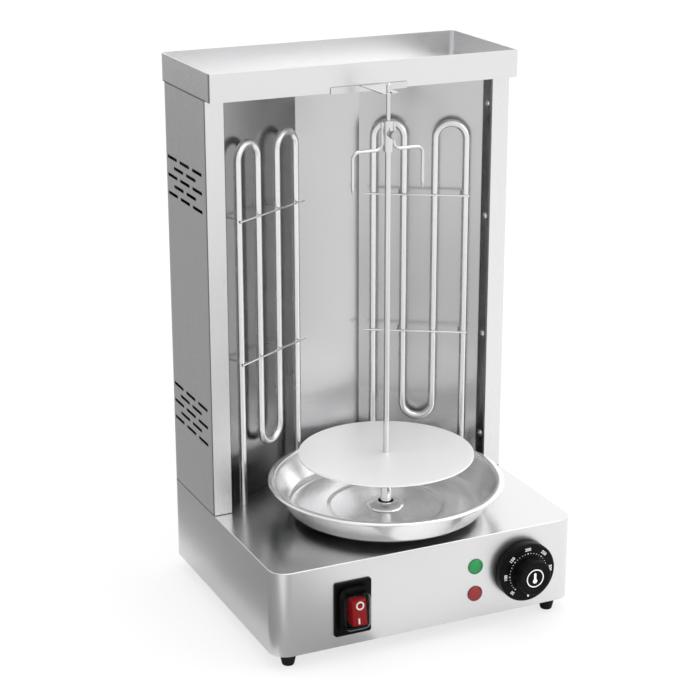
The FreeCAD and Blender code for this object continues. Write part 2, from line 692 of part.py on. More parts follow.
# Under the deck each leg has a brazed bush, a ceramic bead and a flat terminal
BUSH_RADIUS = 7.5
BUSH_HEIGHT = 8
BEAD_RADIUS = 5.2
BEAD_HEIGHT = 9
TAB = (6.3, 0.8, 14)
bushes = []
beads = []
tabs = []
bead_z = under_deck_z - s.heater_leg - BEAD_HEIGHT
for point in leg_points:
    bushes.append(cut("bush", cylinder("bush_blank", point.x, point.y, under_deck_z - BUSH_HEIGHT,
                                       BUSH_RADIUS, BUSH_HEIGHT),
                      [cylinder("bush_bore", point.x, point.y, under_deck_z - BUSH_HEIGHT - 1,
                                s.heater_radius, BUSH_HEIGHT + 2)]))
    beads.append(cylinder("bead", point.x, point.y, bead_z, BEAD_RADIUS, BEAD_HEIGHT))
    tabs.append(centred_box("tab", point.x, point.y, bead_z - TAB[2], TAB[0], TAB[1], TAB[2]))
node("heater_bushes", group("heater_bushes", bushes))
node("heater_insulators", group("heater_insulators", beads))
node("heater_terminals", group("heater_terminals", tabs))

# Heater supports: a wire across the front of the runs, with two legs through the reflector
support_standoff = heater_offset + float(s.heater_radius + s.support_radius) + 0.1
support_first = float(s.support_overhang)
support_last = splay_length - 1.5 * float(s.support_overhang)
supports = []
for side in LEFT_RIGHT:
    for rise in support_rises:
        z = float(deck_z + rise)
        start = splay_point(side, support_first, support_standoff, z)
        end = splay_point(side, support_last, support_standoff, z)
        wire = Part.makeCylinder(float(s.support_radius), start.distanceToPoint(end), start, end - start)
        for along in support_legs:
            front = splay_point(side, along, support_standoff, z)
            rear = splay_point(side, along, -2, z)
            wire = wire.fuse(Part.makeCylinder(float(s.support_radius), front.distanceToPoint(rear), front,
                                               rear - front))
        supports.append(wire.removeSplitter())
node("heater_supports", feature("heater_supports", Part.makeCompound(supports)))

# Drive socket: a slotted cup on the motor's output shaft, standing through the deck
SOCKET_FLOOR = 3
SLOT_DEPTH = 6
socket_top_z = deck_z + s.socket_rise
socket_low_z = under_deck_z - 1
socket_seat_z = deck_z + s.spit_foot_rise
shaft_top_z = socket_seat_z - SOCKET_FLOOR
slot_half = s.cross_pin_radius + s.slip
socket_blank = cylinder("socket_blank", 0, axis_y, socket_low_z, s.socket_radius, socket_top_z - socket_low_z)
socket_bores = [
    cylinder("socket_cup", 0, axis_y, socket_seat_z, s.spit_radius + s.running, s.socket_rise),
    cylinder("socket_shaft_bore", 0, axis_y, socket_low_z - 1, s.shaft_radius, shaft_top_z - socket_low_z + 1)]
socket_slot = box("socket_slot", -slot_half, axis_y - s.socket_radius - 1, socket_top_z - SLOT_DEPTH,
                  slot_half * 2, s.socket_radius * 2 + 2, SLOT_DEPTH + 1)
node("drive_socket", cut("drive_socket", cut("socket_bored", socket_blank, socket_bores), [socket_slot]))

# Shaft seal: a soft flat ring on the deck round the socket; the pan's floor rests on its outer part
SEAL_RADIUS = 30
node("shaft_seal", cut("shaft_seal", cylinder("seal_blank", 0, axis_y, deck_z, SEAL_RADIUS, s.pan_floor_rise),
                       [cylinder("seal_bore", 0, axis_y, deck_z - 1, s.socket_radius + s.slip,
                                 s.pan_floor_rise + 2)]))

# Spit: a rod with a thinner upper pin, and a cross pin that the socket's slot drives
step_z = deck_z + s.spit_step_rise
spit_top_z = tower_top_z + s.spit_top_over
PIN_TIP = 2
rod_length = step_z - socket_seat_z
cross_pin_z = socket_top_z - SLOT_DEPTH + s.cross_pin_radius + s.slip
spit_blank = fuse("spit_blank", cylinder("spit_bar", 0, axis_y, socket_seat_z, s.spit_radius, rod_length),
                  cylinder("spit_pin", 0, axis_y, step_z - 1, s.spit_pin_radius,
                           spit_top_z - step_z + 1 - PIN_TIP),
                  cone("spit_tip", 0, axis_y, spit_top_z - PIN_TIP, s.spit_pin_radius,
                       s.spit_pin_radius / 2, PIN_TIP))
node("spit_rod", cut("spit_rod", spit_blank, [
    cylinder("cross_bore", 0, axis_y - s.spit_radius - 1, cross_pin_z, s.cross_pin_radius,
             s.spit_radius * 2 + 2, "y")]))
node("cross_pin", cylinder("cross_pin", 0, axis_y - s.socket_radius + s.slip, cross_pin_z,
                           s.cross_pin_radius, (s.socket_radius - s.slip) * 2, "y"))

# Disc and its hub, on the rod
disc_z = deck_z + s.disc_rise
node("spit_disc", cut("spit_disc", cylinder("disc_blank", 0, axis_y, disc_z, s.disc_radius, s.disc_steel),
                      [cylinder("disc_bore", 0, axis_y, disc_z - 1, s.spit_radius, s.disc_steel + 2)]))
HUB_RADIUS = 10
HUB_HEIGHT = 12
node("disc_hub", cut("disc_hub", cylinder("hub_blank", 0, axis_y, disc_z - HUB_HEIGHT, HUB_RADIUS, HUB_HEIGHT),
                     [cylinder("hub_bore", 0, axis_y, disc_z - HUB_HEIGHT - 1, s.spit_radius,
                               HUB_HEIGHT + 2)]))

# Fork: a sleeve that slides on the rod, with two bent arms welded beside it
fork_z = tower_top_z - s.fork_drop
sleeve_top_z = step_z
sleeve_low_z = sleeve_top_z - s.fork_sleeve_length
sleeve_shape = Part.makeCylinder(float(s.fork_sleeve_radius), float(s.fork_sleeve_length),
                                 Vector(0, float(axis_y), float(sleeve_low_z)))
arm_x = float(s.fork_sleeve_radius + s.fork_wire_radius) - 0.4
prong_end_z = float(fork_z - s.fork_prong)
POINT_LENGTH = 6
for side in LEFT_RIGHT:
    arm = tube_shape([(side * arm_x, axis_y, float(sleeve_top_z) - 1), (side * arm_x, axis_y, fork_z),
                      (side * float(s.fork_half_span), axis_y, fork_z),
                      (side * float(s.fork_half_span), axis_y, prong_end_z + POINT_LENGTH)],
                     s.fork_wire_radius, s.fork_bend)
    tip = Part.makeCone(0.3, float(s.fork_wire_radius), POINT_LENGTH,
                        Vector(side * float(s.fork_half_span), float(axis_y), prong_end_z))
    sleeve_shape = sleeve_shape.fuse([arm, tip])
SCREW_BOSS_RADIUS = 3.4
SCREW_BOSS_REACH = 8
thumb_z = float(sleeve_top_z) - 12
boss = Part.makeCylinder(SCREW_BOSS_RADIUS, SCREW_BOSS_REACH, Vector(0, float(axis_y), thumb_z),
                         Vector(0, -1, 0))
sleeve_bore = Part.makeCylinder(float(s.spit_radius + s.running), float(s.fork_sleeve_length) + 2,
                                Vector(0, float(axis_y), float(sleeve_low_z) - 1))
thumb_bore = Part.makeCylinder(M4_RADIUS + float(s.running), SCREW_BOSS_REACH + 1,
                               Vector(0, float(axis_y), thumb_z), Vector(0, -1, 0))
fork_shape = sleeve_shape.fuse(boss).cut(sleeve_bore).cut(thumb_bore).removeSplitter()
node("spit_fork", feature("spit_fork", fork_shape))
THUMB_RADIUS = 4
THUMB_LENGTH = 6
thumb_start = Vector(0, float(axis_y) - float(s.spit_radius) - 0.4, thumb_z)
thumb_shape = Part.makeCylinder(M4_RADIUS, SCREW_BOSS_REACH - float(s.spit_radius) + 0.4, thumb_start,
                                Vector(0, -1, 0))
thumb_head_y = float(axis_y) - SCREW_BOSS_REACH - 0.5
thumb_head = Part.makeCylinder(THUMB_RADIUS, THUMB_LENGTH, Vector(0, thumb_head_y, thumb_z), Vector(0, -1, 0))
KNURLS = 14
for number in range(KNURLS):
    angle = 2 * math.pi * number / KNURLS
    groove = Part.makeCylinder(0.6, THUMB_LENGTH + 2,
                               Vector(THUMB_RADIUS * math.cos(angle), thumb_head_y + 1,
                                      thumb_z + THUMB_RADIUS * math.sin(angle)), Vector(0, -1, 0))
    thumb_head = thumb_head.cut(groove)
node("fork_thumb_screw", feature("fork_thumb_screw", thumb_shape.fuse(thumb_head).removeSplitter()))

# Drip pan: a centre dome round the drive hole, a flat floor with a low step, a rounded foot, a steep wall and
# a flat lip; it rests on the shaft seal and stands clear of the deck
pan_wall = float(s.pan_steel)
pan_r = float(s.pan_radius)
pan_h = float(s.pan_height)
floor_r = float(s.pan_floor_radius)
floor_rise = float(s.pan_floor_rise)
LIP_WIDTH = 8
STEP_RADIUS = 57
STEP_RISE = 1.5
DOME_RADIUS = 19.5
DOME_RISE = 5
FOOT_BEND = 10
FOOT_TURN = math.radians(65.5)


def pan_point(radius, rise):
    return Vector(radius, 0, rise)


def pan_section(corners, middles, wall):
    """The section of a thin dish: its lower line, and that line raised by the wall with mitred corners.

    A segment that has a middle point is an arc."""
    lower = []
    for index, (start, end) in enumerate(zip(corners, corners[1:])):
        middle = middles.get(index)
        lower.append((Part.Arc(start, middle, end) if middle else Part.LineSegment(start, end)).toShape())

    def upward(edge, share):
        along = edge.tangentAt(edge.FirstParameter + (edge.LastParameter - edge.FirstParameter) * share)
        return Vector(-along.z, 0, along.x)

    raised = []
    for index, corner in enumerate(corners):
        before = upward(lower[max(index - 1, 0)], 1 if index else 0)
        after = upward(lower[min(index, len(lower) - 1)], 0 if index < len(lower) else 1)
        raised.append(corner + (before + after) * (wall / (1 + before.dot(after))))
    upper = []
    for index, (start, end) in enumerate(zip(raised, raised[1:])):
        if index in middles:
            edge = lower[index]
            half = edge.valueAt((edge.FirstParameter + edge.LastParameter) / 2)
            upper.append(Part.Arc(start, half + upward(edge, 0.5) * wall, end).toShape())
        else:
            upper.append(Part.LineSegment(start, end).toShape())
    ends = [Part.LineSegment(corners[-1], raised[-1]).toShape(), Part.LineSegment(raised[0], corners[0]).toShape()]
    return Part.Face(Part.Wire(lower + ends[:1] + upper[::-1] + ends[1:]))


hole_edge = pan_point(float(s.pan_hole_radius), floor_rise + DOME_RISE)
dome_foot = pan_point(DOME_RADIUS, floor_rise)
dome_middle = pan_point((hole_edge.x + DOME_RADIUS) / 2 + 1.2, floor_rise + DOME_RISE / 2 + 1.2)


def foot_point(turn):
    """A point of the rounded foot, after this much of its turn from the floor up into the wall."""
    return pan_point(floor_r + FOOT_BEND * math.sin(turn), floor_rise + STEP_RISE + FOOT_BEND * (1 - math.cos(turn)))


pan_corners = [hole_edge, dome_foot, pan_point(STEP_RADIUS, floor_rise),
               pan_point(STEP_RADIUS + 3, floor_rise + STEP_RISE), pan_point(floor_r, floor_rise + STEP_RISE),
               foot_point(FOOT_TURN), pan_point(pan_r - LIP_WIDTH, pan_h - pan_wall - 1),
               pan_point(pan_r, pan_h - pan_wall)]
pan_shape = pan_section(pan_corners, {0: dome_middle, 4: foot_point(FOOT_TURN / 2)}, pan_wall).revolve(
    Vector(0, 0, 0), Vector(0, 0, 1), 360)
if pan_shape.ShapeType != "Solid" and pan_shape.Solids:
    pan_shape = pan_shape.Solids[0]
node("drip_pan", feature("drip_pan", pan_shape, Vector(0, float(axis_y), float(deck_z))))

# Gearbox cover with mounting ears, hung from two studs under the deck
gearbox_low_z = under_deck_z - s.gearbox_height
COVER_TOP = 2
EAR_STEEL = 2
EAR_WIDTH = 16
ear_length = STUD_SPREAD * 2 + EAR_WIDTH
cover_outer = fuse("cover_outer",
                   cylinder("cover_blank", 0, motor_y, gearbox_low_z, s.motor_radius, s.gearbox_height),
                   centred_box("ears", 0, motor_y, under_deck_z - EAR_STEEL, ear_length, EAR_WIDTH, EAR_STEEL))
cover_room = cylinder("cover_room", 0, motor_y, gearbox_low_z - 1, s.motor_radius - s.can_wall,
                      s.gearbox_height - COVER_TOP + 1)
cover_holes = [cylinder("shaft_way", 0, axis_y, under_deck_z - COVER_TOP - 0.5, s.socket_radius + s.slip,
                        COVER_TOP + 1)]
for x, y in stud_places:
    cover_holes.append(cylinder("ear_hole", x, y, under_deck_z - EAR_STEEL - 1, M4_RADIUS, EAR_STEEL + 2))
node("gearbox_cover", cut("gearbox_cover", cut("cover_hollow", cover_outer, [cover_room]), cover_holes))
STUD_LENGTH = 10
studs = []
stud_nuts = []
for x, y in stud_places:
    studs.append(cylinder("stud", x, y, under_deck_z - STUD_LENGTH, M4_RADIUS, STUD_LENGTH))
    nut_z = under_deck_z - EAR_STEEL - M4_NUT_HEIGHT
    stud_nuts.append(cut("stud_nut", cylinder("stud_nut_blank", x, y, nut_z, M4_NUT_RADIUS, M4_NUT_HEIGHT),
                         [cylinder("stud_nut_bore", x, y, nut_z - 1, M4_RADIUS, M4_NUT_HEIGHT + 2)]))
node("motor_studs", group("motor_studs", studs))
node("motor_nuts", group("motor_nuts", stud_nuts))

# Gear plate, between the gears and the motor's can
PLATE_STEEL = 2
plate_z = gearbox_low_z - PLATE_STEEL
can_low_z = plate_z - s.can_height
ROTOR_SHAFT_RADIUS = 1.5
node("gear_plate", cut("gear_plate", cylinder("gear_plate_blank", 0, motor_y, plate_z, s.motor_radius,
                                              PLATE_STEEL),
                       [cylinder("rotor_way", 0, motor_y, plate_z - 1, 4.5, PLATE_STEEL + 2)]))
node("motor_can", cut("motor_can", cylinder("can_blank", 0, motor_y, can_low_z, s.motor_radius, s.can_height),
                      [cylinder("can_room", 0, motor_y, can_low_z + s.can_wall, s.motor_radius - s.can_wall,
                                s.can_height)]))
COIL_GAP = 2
coil_z = can_low_z + s.can_wall
coil_height = s.can_height - s.can_wall
COIL_INNER_RADIUS = 15
node("motor_coil", cut("motor_coil", cylinder("coil_blank", 0, motor_y, coil_z,
                                              s.motor_radius - s.can_wall, coil_height),
                       [cylinder("coil_room", 0, motor_y, coil_z - 1, COIL_INNER_RADIUS, coil_height + 2)]))

# Gear train: rotor pinion, two compound idlers and the output wheel. Centre distances carry the
# backlash.
PRESSURE_ANGLE = 20
BACKLASH = 0.12
STAGES = [  # module, driving teeth, driven teeth
    (0.5, 12, 48),
    (0.6, 12, 36),
    (0.8, 12, 36)]
GEAR_WIDTH = 3.6
LAYER_GAP = 1.0
layer_z = [float(gearbox_low_z) + 1.2 + layer * (GEAR_WIDTH + LAYER_GAP) for layer in range(len(STAGES))]
centre_distance = [module * (driving + driven) / 2 + BACKLASH for module, driving, driven in STAGES]
rotor_at = Vector(0, float(motor_y), 0)
output_at = Vector(0, float(axis_y), 0)
FIRST_IDLER_ANGLE = math.radians(60)
idler_one_at = rotor_at + Vector(math.cos(FIRST_IDLER_ANGLE), math.sin(FIRST_IDLER_ANGLE), 0) * centre_distance[0]


def crossing(one, one_radius, two, two_radius):
    """Where two circles cross, on the left of the way from one to two."""
    way = two - one
    apart = way.Length
    way.normalize()
    along = (one_radius ** 2 - two_radius ** 2 + apart ** 2) / (2 * apart)
    aside = math.sqrt(one_radius ** 2 - along ** 2)
    return one + way * along + Vector(-way.y, way.x, 0) * aside


idler_two_at = crossing(output_at, centre_distance[2], idler_one_at, centre_distance[1])


def gear_shape(module, teeth, at, z, width, turn):
    """An involute spur gear whose tooth is turned from +X by an angle in radians."""
    builder = fcgear.FCWireBuilder()
    involute.CreateExternalGear(builder, module, teeth, PRESSURE_ANGLE)
    wire = Part.Wire([edge.toShape() for edge in builder.wire])
    shape = Part.Face(wire).extrude(Vector(0, 0, width))
    shape.rotate(Vector(), Vector(0, 0, 1), math.degrees(turn))
    shape.translate(Vector(at.x, at.y, z))
    return shape


def meshing_turn(driver_at, driver_teeth, driver_turn, driven_at, driven_teeth):
    """The driven gear's turn that puts a gap where the driver has a tooth."""
    way = driven_at - driver_at
    angle = math.atan2(way.y, way.x)
    return angle + math.pi - (math.pi - driver_teeth * (angle - driver_turn)) / driven_teeth


turns = [0.0]
axes_at = [rotor_at, idler_one_at, idler_two_at, output_at]
for stage, (module, driving, driven) in enumerate(STAGES):
    turns.append(meshing_turn(axes_at[stage], driving, turns[stage], axes_at[stage + 1], driven))
ARBOR_RADIUS = 1.25
cover_inside_z = float(under_deck_z) - COVER_TOP


def post(at, radius, low, high):
    return Part.makeCylinder(radius, high - low, Vector(at.x, at.y, low))


ROTOR_RADIUS = 13.5
ROTOR_LENGTH = 20
rotor_low_z = float(can_low_z) + 4
rotor_shape = post(rotor_at, ROTOR_RADIUS, rotor_low_z, rotor_low_z + ROTOR_LENGTH)
rotor_shape = rotor_shape.fuse(post(rotor_at, ROTOR_SHAFT_RADIUS, rotor_low_z - 1, layer_z[0] + GEAR_WIDTH))
rotor_shape = rotor_shape.fuse(gear_shape(STAGES[0][0], STAGES[0][1], rotor_at, layer_z[0], GEAR_WIDTH, 0))
node("motor_rotor", feature("motor_rotor", rotor_shape.removeSplitter()))
arbors = []
for number, at in ((1, idler_one_at), (2, idler_two_at)):
    wheel_module, _, wheel_teeth = STAGES[number - 1]
    pinion_module, pinion_teeth, _ = STAGES[number]
    wheel = gear_shape(wheel_module, wheel_teeth, at, layer_z[number - 1], GEAR_WIDTH, turns[number])
    pinion = gear_shape(pinion_module, pinion_teeth, at, layer_z[number - 1] + GEAR_WIDTH,
                        GEAR_WIDTH + LAYER_GAP, turns[number])
    bore = post(at, ARBOR_RADIUS + float(s.running), layer_z[0] - 5, cover_inside_z + 5)
    idler = wheel.fuse(pinion).cut(bore).removeSplitter()
    node(f"idler_gear_{number}", feature(f"idler_gear_{number}", idler))
    arbors.append(post(at, ARBOR_RADIUS, float(gearbox_low_z), cover_inside_z))
node("gear_arbors", feature("gear_arbors", Part.makeCompound(arbors)))
output_shape = gear_shape(STAGES[2][0], STAGES[2][2], output_at, layer_z[2], GEAR_WIDTH, turns[3])
output_shape = output_shape.fuse(post(output_at, float(s.shaft_radius), float(gearbox_low_z),
                                      float(shaft_top_z)))
node("output_gear", feature("output_gear", output_shape.removeSplitter()))

# Thermostat: a body behind the front wall, its shaft, the knob and two screws
STAT_WIDTH = 44
STAT_HEIGHT = 32
STAT_DEPTH = 28
inside_front_y = front_y + s.steel
SHAFT_SINK = 8
node("thermostat_body", cut(
    "thermostat_body",
    centred_box("stat_blank", s.dial_x, inside_front_y + STAT_DEPTH / 2, s.dial_z - STAT_HEIGHT / 2,
                STAT_WIDTH, STAT_DEPTH, STAT_HEIGHT),
    [cylinder("stat_bore", s.dial_x, inside_front_y - 1, s.dial_z, s.dial_shaft_radius + s.running,
              SHAFT_SINK + 1, "y")]
    + [cylinder("stat_screw_bore", s.dial_x + side * THERMOSTAT_SCREW_SPREAD, inside_front_y - 1, s.dial_z,
                M4_RADIUS, 7, "y") for side in LEFT_RIGHT]))
knob_back_gap = 3.2
knob_bore_depth = 14
shaft_tip_y = front_y - knob_back_gap - knob_bore_depth
node("thermostat_shaft", cylinder("thermostat_shaft", s.dial_x, shaft_tip_y, s.dial_z, s.dial_shaft_radius,
                                  inside_front_y + SHAFT_SINK - 0.5 - shaft_tip_y, "y"))
node("thermostat_screws", group("thermostat_screws", [
    fuse("stat_screw",
         cylinder("stat_head", s.dial_x + side * THERMOSTAT_SCREW_SPREAD, front_y - 2, s.dial_z,
                  M4_HEAD_RADIUS, 2, "y"),
         cylinder("stat_shank", s.dial_x + side * THERMOSTAT_SCREW_SPREAD, front_y - 1, s.dial_z,
                  M4_RADIUS, s.steel + 6, "y")) for side in LEFT_RIGHT]))
KNOB_BACK_RADIUS = 27
GRIP_DRAFT = 1.5
knob_body = body("knob_body")
knob_outline = outline(knob_body, "XZ_Plane", [
    (0, s.knob_reach), (s.grip_radius - GRIP_DRAFT - 1, s.knob_reach),
    (s.grip_radius - GRIP_DRAFT, s.knob_reach - 1), (s.grip_radius, s.skirt_reach),
    (s.skirt_radius - 0.8, s.skirt_reach), (s.skirt_radius, s.skirt_reach - 0.8),
    (s.skirt_radius, knob_back_gap), (KNOB_BACK_RADIUS, knob_back_gap),
    (KNOB_BACK_RADIUS, knob_back_gap + 3), (8, knob_back_gap + 3),
    (8, knob_back_gap), (s.dial_shaft_radius, knob_back_gap),
    (s.dial_shaft_radius, knob_back_gap + knob_bore_depth), (0, knob_back_gap + knob_bore_depth)])
revolve(knob_body, knob_outline)
knob_body.Placement = Placement(Vector(), Rotation(Vector(1, 0, 0), 90))
place(knob_body, s.dial_x, front_y, s.dial_z)
node("thermostat_knob", knob_body)

# Capillary and bulb: from the thermostat through the deck to the back of the reflector
BULB_RADIUS = 3
BULB_LENGTH = 80
bulb_x = float(s.centre_half) - 14
bulb_y = float(back_y - s.centre_depth) + BULB_RADIUS + 0.2
bulb_low_z = float(deck_z) + 230
capillary = tube_shape([
    (s.dial_x, inside_front_y + STAT_DEPTH, s.dial_z), (s.dial_x, capillary_y, s.dial_z),
    (s.dial_x, capillary_y, deck_z + 70), (bulb_x, capillary_y, deck_z + 150),
    (bulb_x, bulb_y, deck_z + 190), (bulb_x, bulb_y, bulb_low_z)], CAPILLARY_RADIUS, 10)
bulb = Part.makeCylinder(BULB_RADIUS, BULB_LENGTH, Vector(bulb_x, bulb_y, bulb_low_z))
node("thermostat_capillary", feature("thermostat_capillary", capillary))
node("thermostat_bulb", feature("thermostat_bulb", bulb))
clips = []
for share in (0.2, 0.8):
    clip_z = bulb_low_z + BULB_LENGTH * share - 4
    clip = Part.makeBox(16, 2 * BULB_RADIUS + 1.2, 8, Vector(bulb_x - 8, float(back_y - s.centre_depth), clip_z))
    clips.append(clip.cut(Part.makeCylinder(BULB_RADIUS, 10, Vector(bulb_x, bulb_y, clip_z - 1))))
node("bulb_clips", feature("bulb_clips", Part.makeCompound(clips)))

# Rocker switch: bezel, collar and rear body in one moulding, the rocker, and a clear boot over it
BEZEL_ROUND = 2.5
COLLAR_ROUND = 7
BOOT_ROUND = 6
ROOM_WIDTH = s.rocker_width + 2
ROOM_HEIGHT = s.rocker_height + 5
switch_outer = fuse(
    "switch_outer",
    rounded_box("bezel", s.switch_x, front_y - 1, s.switch_z - s.bezel_height / 2, s.bezel_width, 2,
                s.bezel_height, BEZEL_ROUND),
    rounded_box("collar", s.switch_x, front_y - s.collar_reach / 2, s.switch_z - s.collar_height / 2,
                s.collar_width, s.collar_reach, s.collar_height, COLLAR_ROUND),
    centred_box("switch_rear", s.switch_x, front_y + SWITCH_BODY_DEPTH / 2,
                s.switch_z - SWITCH_BODY_HEIGHT / 2, SWITCH_BODY_WIDTH, SWITCH_BODY_DEPTH,
                SWITCH_BODY_HEIGHT))
ROOM_BACK = 12
switch_room = centred_box("switch_room", s.switch_x, front_y + (ROOM_BACK - s.collar_reach - 1) / 2,
                          s.switch_z - ROOM_HEIGHT / 2, ROOM_WIDTH, s.collar_reach + 1 + ROOM_BACK,
                          ROOM_HEIGHT)
boot_seat = rounded_box("boot_seat", s.switch_x, front_y - s.collar_reach, s.switch_z - s.boot_height / 2,
                        s.boot_width, 4, s.boot_height, BOOT_ROUND)
PIVOT_RADIUS = 1.5
pivot_y = front_y - 2
PIVOT_REACH = 3
pivot_length = ROOM_WIDTH + 2 * PIVOT_REACH
switch_space = fuse("switch_space", switch_room, boot_seat,
                    cylinder("pivot_bore", s.switch_x - pivot_length / 2, pivot_y, s.switch_z,
                             PIVOT_RADIUS + s.running, pivot_length, "x"))
node("switch_frame", cut("switch_frame", switch_outer, [switch_space]))
rocker_body = body("rocker_body")
rocker_outline = outline(rocker_body, "YZ_Plane", [
    (-(s.rocker_reach - 2), -s.rocker_height / 2), (-(s.rocker_reach - 2.8), 0),
    (-(s.rocker_reach - 2), s.rocker_height / 2), (0, s.rocker_height / 2 - 1),
    (6, 4), (6, -4), (0, -(s.rocker_height / 2 - 1))])
rocker_pad = pad(rocker_body, rocker_outline, s.rocker_width)
rocker_pad.Midplane = True
rocker_body.Placement = Placement(Vector(), Rotation(Vector(1, 0, 0), float(s.rocker_tilt)))
place(rocker_body, s.switch_x, pivot_y, s.switch_z)
rocker_pivot = cylinder("rocker_pivot", s.switch_x - pivot_length / 2 + s.slip, pivot_y, s.switch_z,
                        PIVOT_RADIUS, pivot_length - 2 * s.slip, "x")
node("rocker", fuse("rocker", rocker_body, rocker_pivot))
boot_back_y = front_y - s.collar_reach + 2
boot_depth = s.boot_reach - s.collar_reach + 2
boot_blank = rounded_box("boot_blank", s.switch_x, boot_back_y - boot_depth / 2,
                         s.switch_z - s.boot_height / 2, s.boot_width, boot_depth, s.boot_height, BOOT_ROUND)
boot_room = rounded_box("boot_room", s.switch_x, boot_back_y - boot_depth / 2 + s.boot_wall,
                        s.switch_z - s.boot_height / 2 + s.boot_wall, s.boot_width - 2 * s.boot_wall,
                        boot_depth, s.boot_height - 2 * s.boot_wall, BOOT_ROUND - 0.8)
node("switch_boot", cut("switch_boot", boot_blank, [boot_room]))
BLADE = (0.8, 10, 6.3)
blades = []
for side in LEFT_RIGHT:
    for z in (s.switch_z - 12, s.switch_z + 12):
        blades.append(centred_box("blade", s.switch_x + side * 8, front_y + SWITCH_BODY_DEPTH + BLADE[1] / 2,
                                  z - BLADE[2] / 2, BLADE[0], BLADE[1], BLADE[2]))
node("switch_terminals", group("switch_terminals", blades))

# Lamps: a coloured lens with a stem in a holder behind the wall
DOME_RISE_SHARE = 0.7
HOLDER_RADIUS = 7
HOLDER_DEPTH = 22
holders = []
for colour, z in (("green", s.green_lamp_z), ("red", s.red_lamp_z)):
    face = front_y - s.lamp_reach
    dome_rise = s.lamp_reach * DOME_RISE_SHARE
    dome_radius = (s.lamp_radius * s.lamp_radius + dome_rise * dome_rise) / (dome_rise * 2)
    ball = doc.addObject("Part::Sphere", colour + "_ball")
    bind(ball, "Radius", dome_radius)
    place(ball, s.lamp_x, face + dome_radius, z)
    dome = doc.addObject("Part::MultiCommon", colour + "_dome")
    dome.Shapes = [cylinder(colour + "_lens_rim", s.lamp_x, face, z, s.lamp_radius, s.lamp_reach, "y"), ball]
    lens = fuse(colour + "_lens_parts", dome,
                cylinder(colour + "_lens_stem", s.lamp_x, front_y - 0.5, z, LAMP_STEM_RADIUS - 0.2,
                         s.steel + 4.5, "y"))
    node(colour + "_lamp_lens", lens)
    holders.append(cut("holder", cylinder("holder_blank", s.lamp_x, inside_front_y, z, HOLDER_RADIUS,
                                          HOLDER_DEPTH, "y"),
                       [cylinder("holder_bore", s.lamp_x, inside_front_y - 1, z, LAMP_STEM_RADIUS - 0.2,
                                 5, "y")]))
node("lamp_holders", group("lamp_holders", holders))

# Terminal block on the base plate, with its screws, and the earth stud
plate_top_z = s.foot_height + s.steel
BLOCK = (44, 20, 16)
block_x = s.gland_x - 50
block_y = back_y - 34
POLES = 3
POLE_PITCH = 13
pole_places = [(block_x + (number - 1) * POLE_PITCH, block_y + side * 5)
               for number in range(POLES) for side in LEFT_RIGHT]
POLE_SINK = 5
node("terminal_block", cut("terminal_block",
                           centred_box("block_blank", block_x, block_y, plate_top_z, *BLOCK),
                           [cylinder("pole_bore", x, y, plate_top_z + BLOCK[2] - POLE_SINK, 2.2,
                                     POLE_SINK + 1) for x, y in pole_places]))
node("terminal_screws", group("terminal_screws", [
    cylinder("pole_screw", x, y, plate_top_z + BLOCK[2] - POLE_SINK, 2.2, 3.5) for x, y in pole_places]))
earth_x = s.gland_x + 30
earth_y = back_y - 34
node("earth_stud", fuse("earth_stud", cylinder("earth_bolt", earth_x, earth_y, plate_top_z, 2.5, 14),
                        cylinder("earth_nut", earth_x, earth_y, plate_top_z, 4.6, 4)))

# Cord gland: a flanged bush through the back wall, with its nut inside
GLAND_FLANGE = 3
GLAND_INSIDE = 9
NUT_DEPTH = 5
gland_parts = fuse("gland_parts",
                   cylinder("gland_flange", s.gland_x, back_y, s.gland_z, s.gland_radius + 2, GLAND_FLANGE, "y"),
                   cone("gland_nose", s.gland_x, back_y + GLAND_FLANGE, s.gland_z, s.gland_radius,
                        s.gland_radius - 3, s.gland_reach - GLAND_FLANGE, "y"),
                   cylinder("gland_barrel", s.gland_x, back_y - s.steel - GLAND_INSIDE, s.gland_z,
                            s.gland_radius - 2, GLAND_INSIDE + s.steel + 0.5, "y"))
node("cord_gland", cut("cord_gland", gland_parts, [
    cylinder("gland_bore", s.gland_x, back_y - 20, s.gland_z, s.cord_radius, 40, "y")]))
node("gland_nut", cut("gland_nut", cylinder("gland_nut_blank", s.gland_x, back_y - s.steel - NUT_DEPTH,
                                            s.gland_z, s.gland_radius + 2, NUT_DEPTH, "y"),
                      [cylinder("gland_nut_bore", s.gland_x, back_y - 20, s.gland_z, s.gland_radius - 2,
                                40, "y")]))

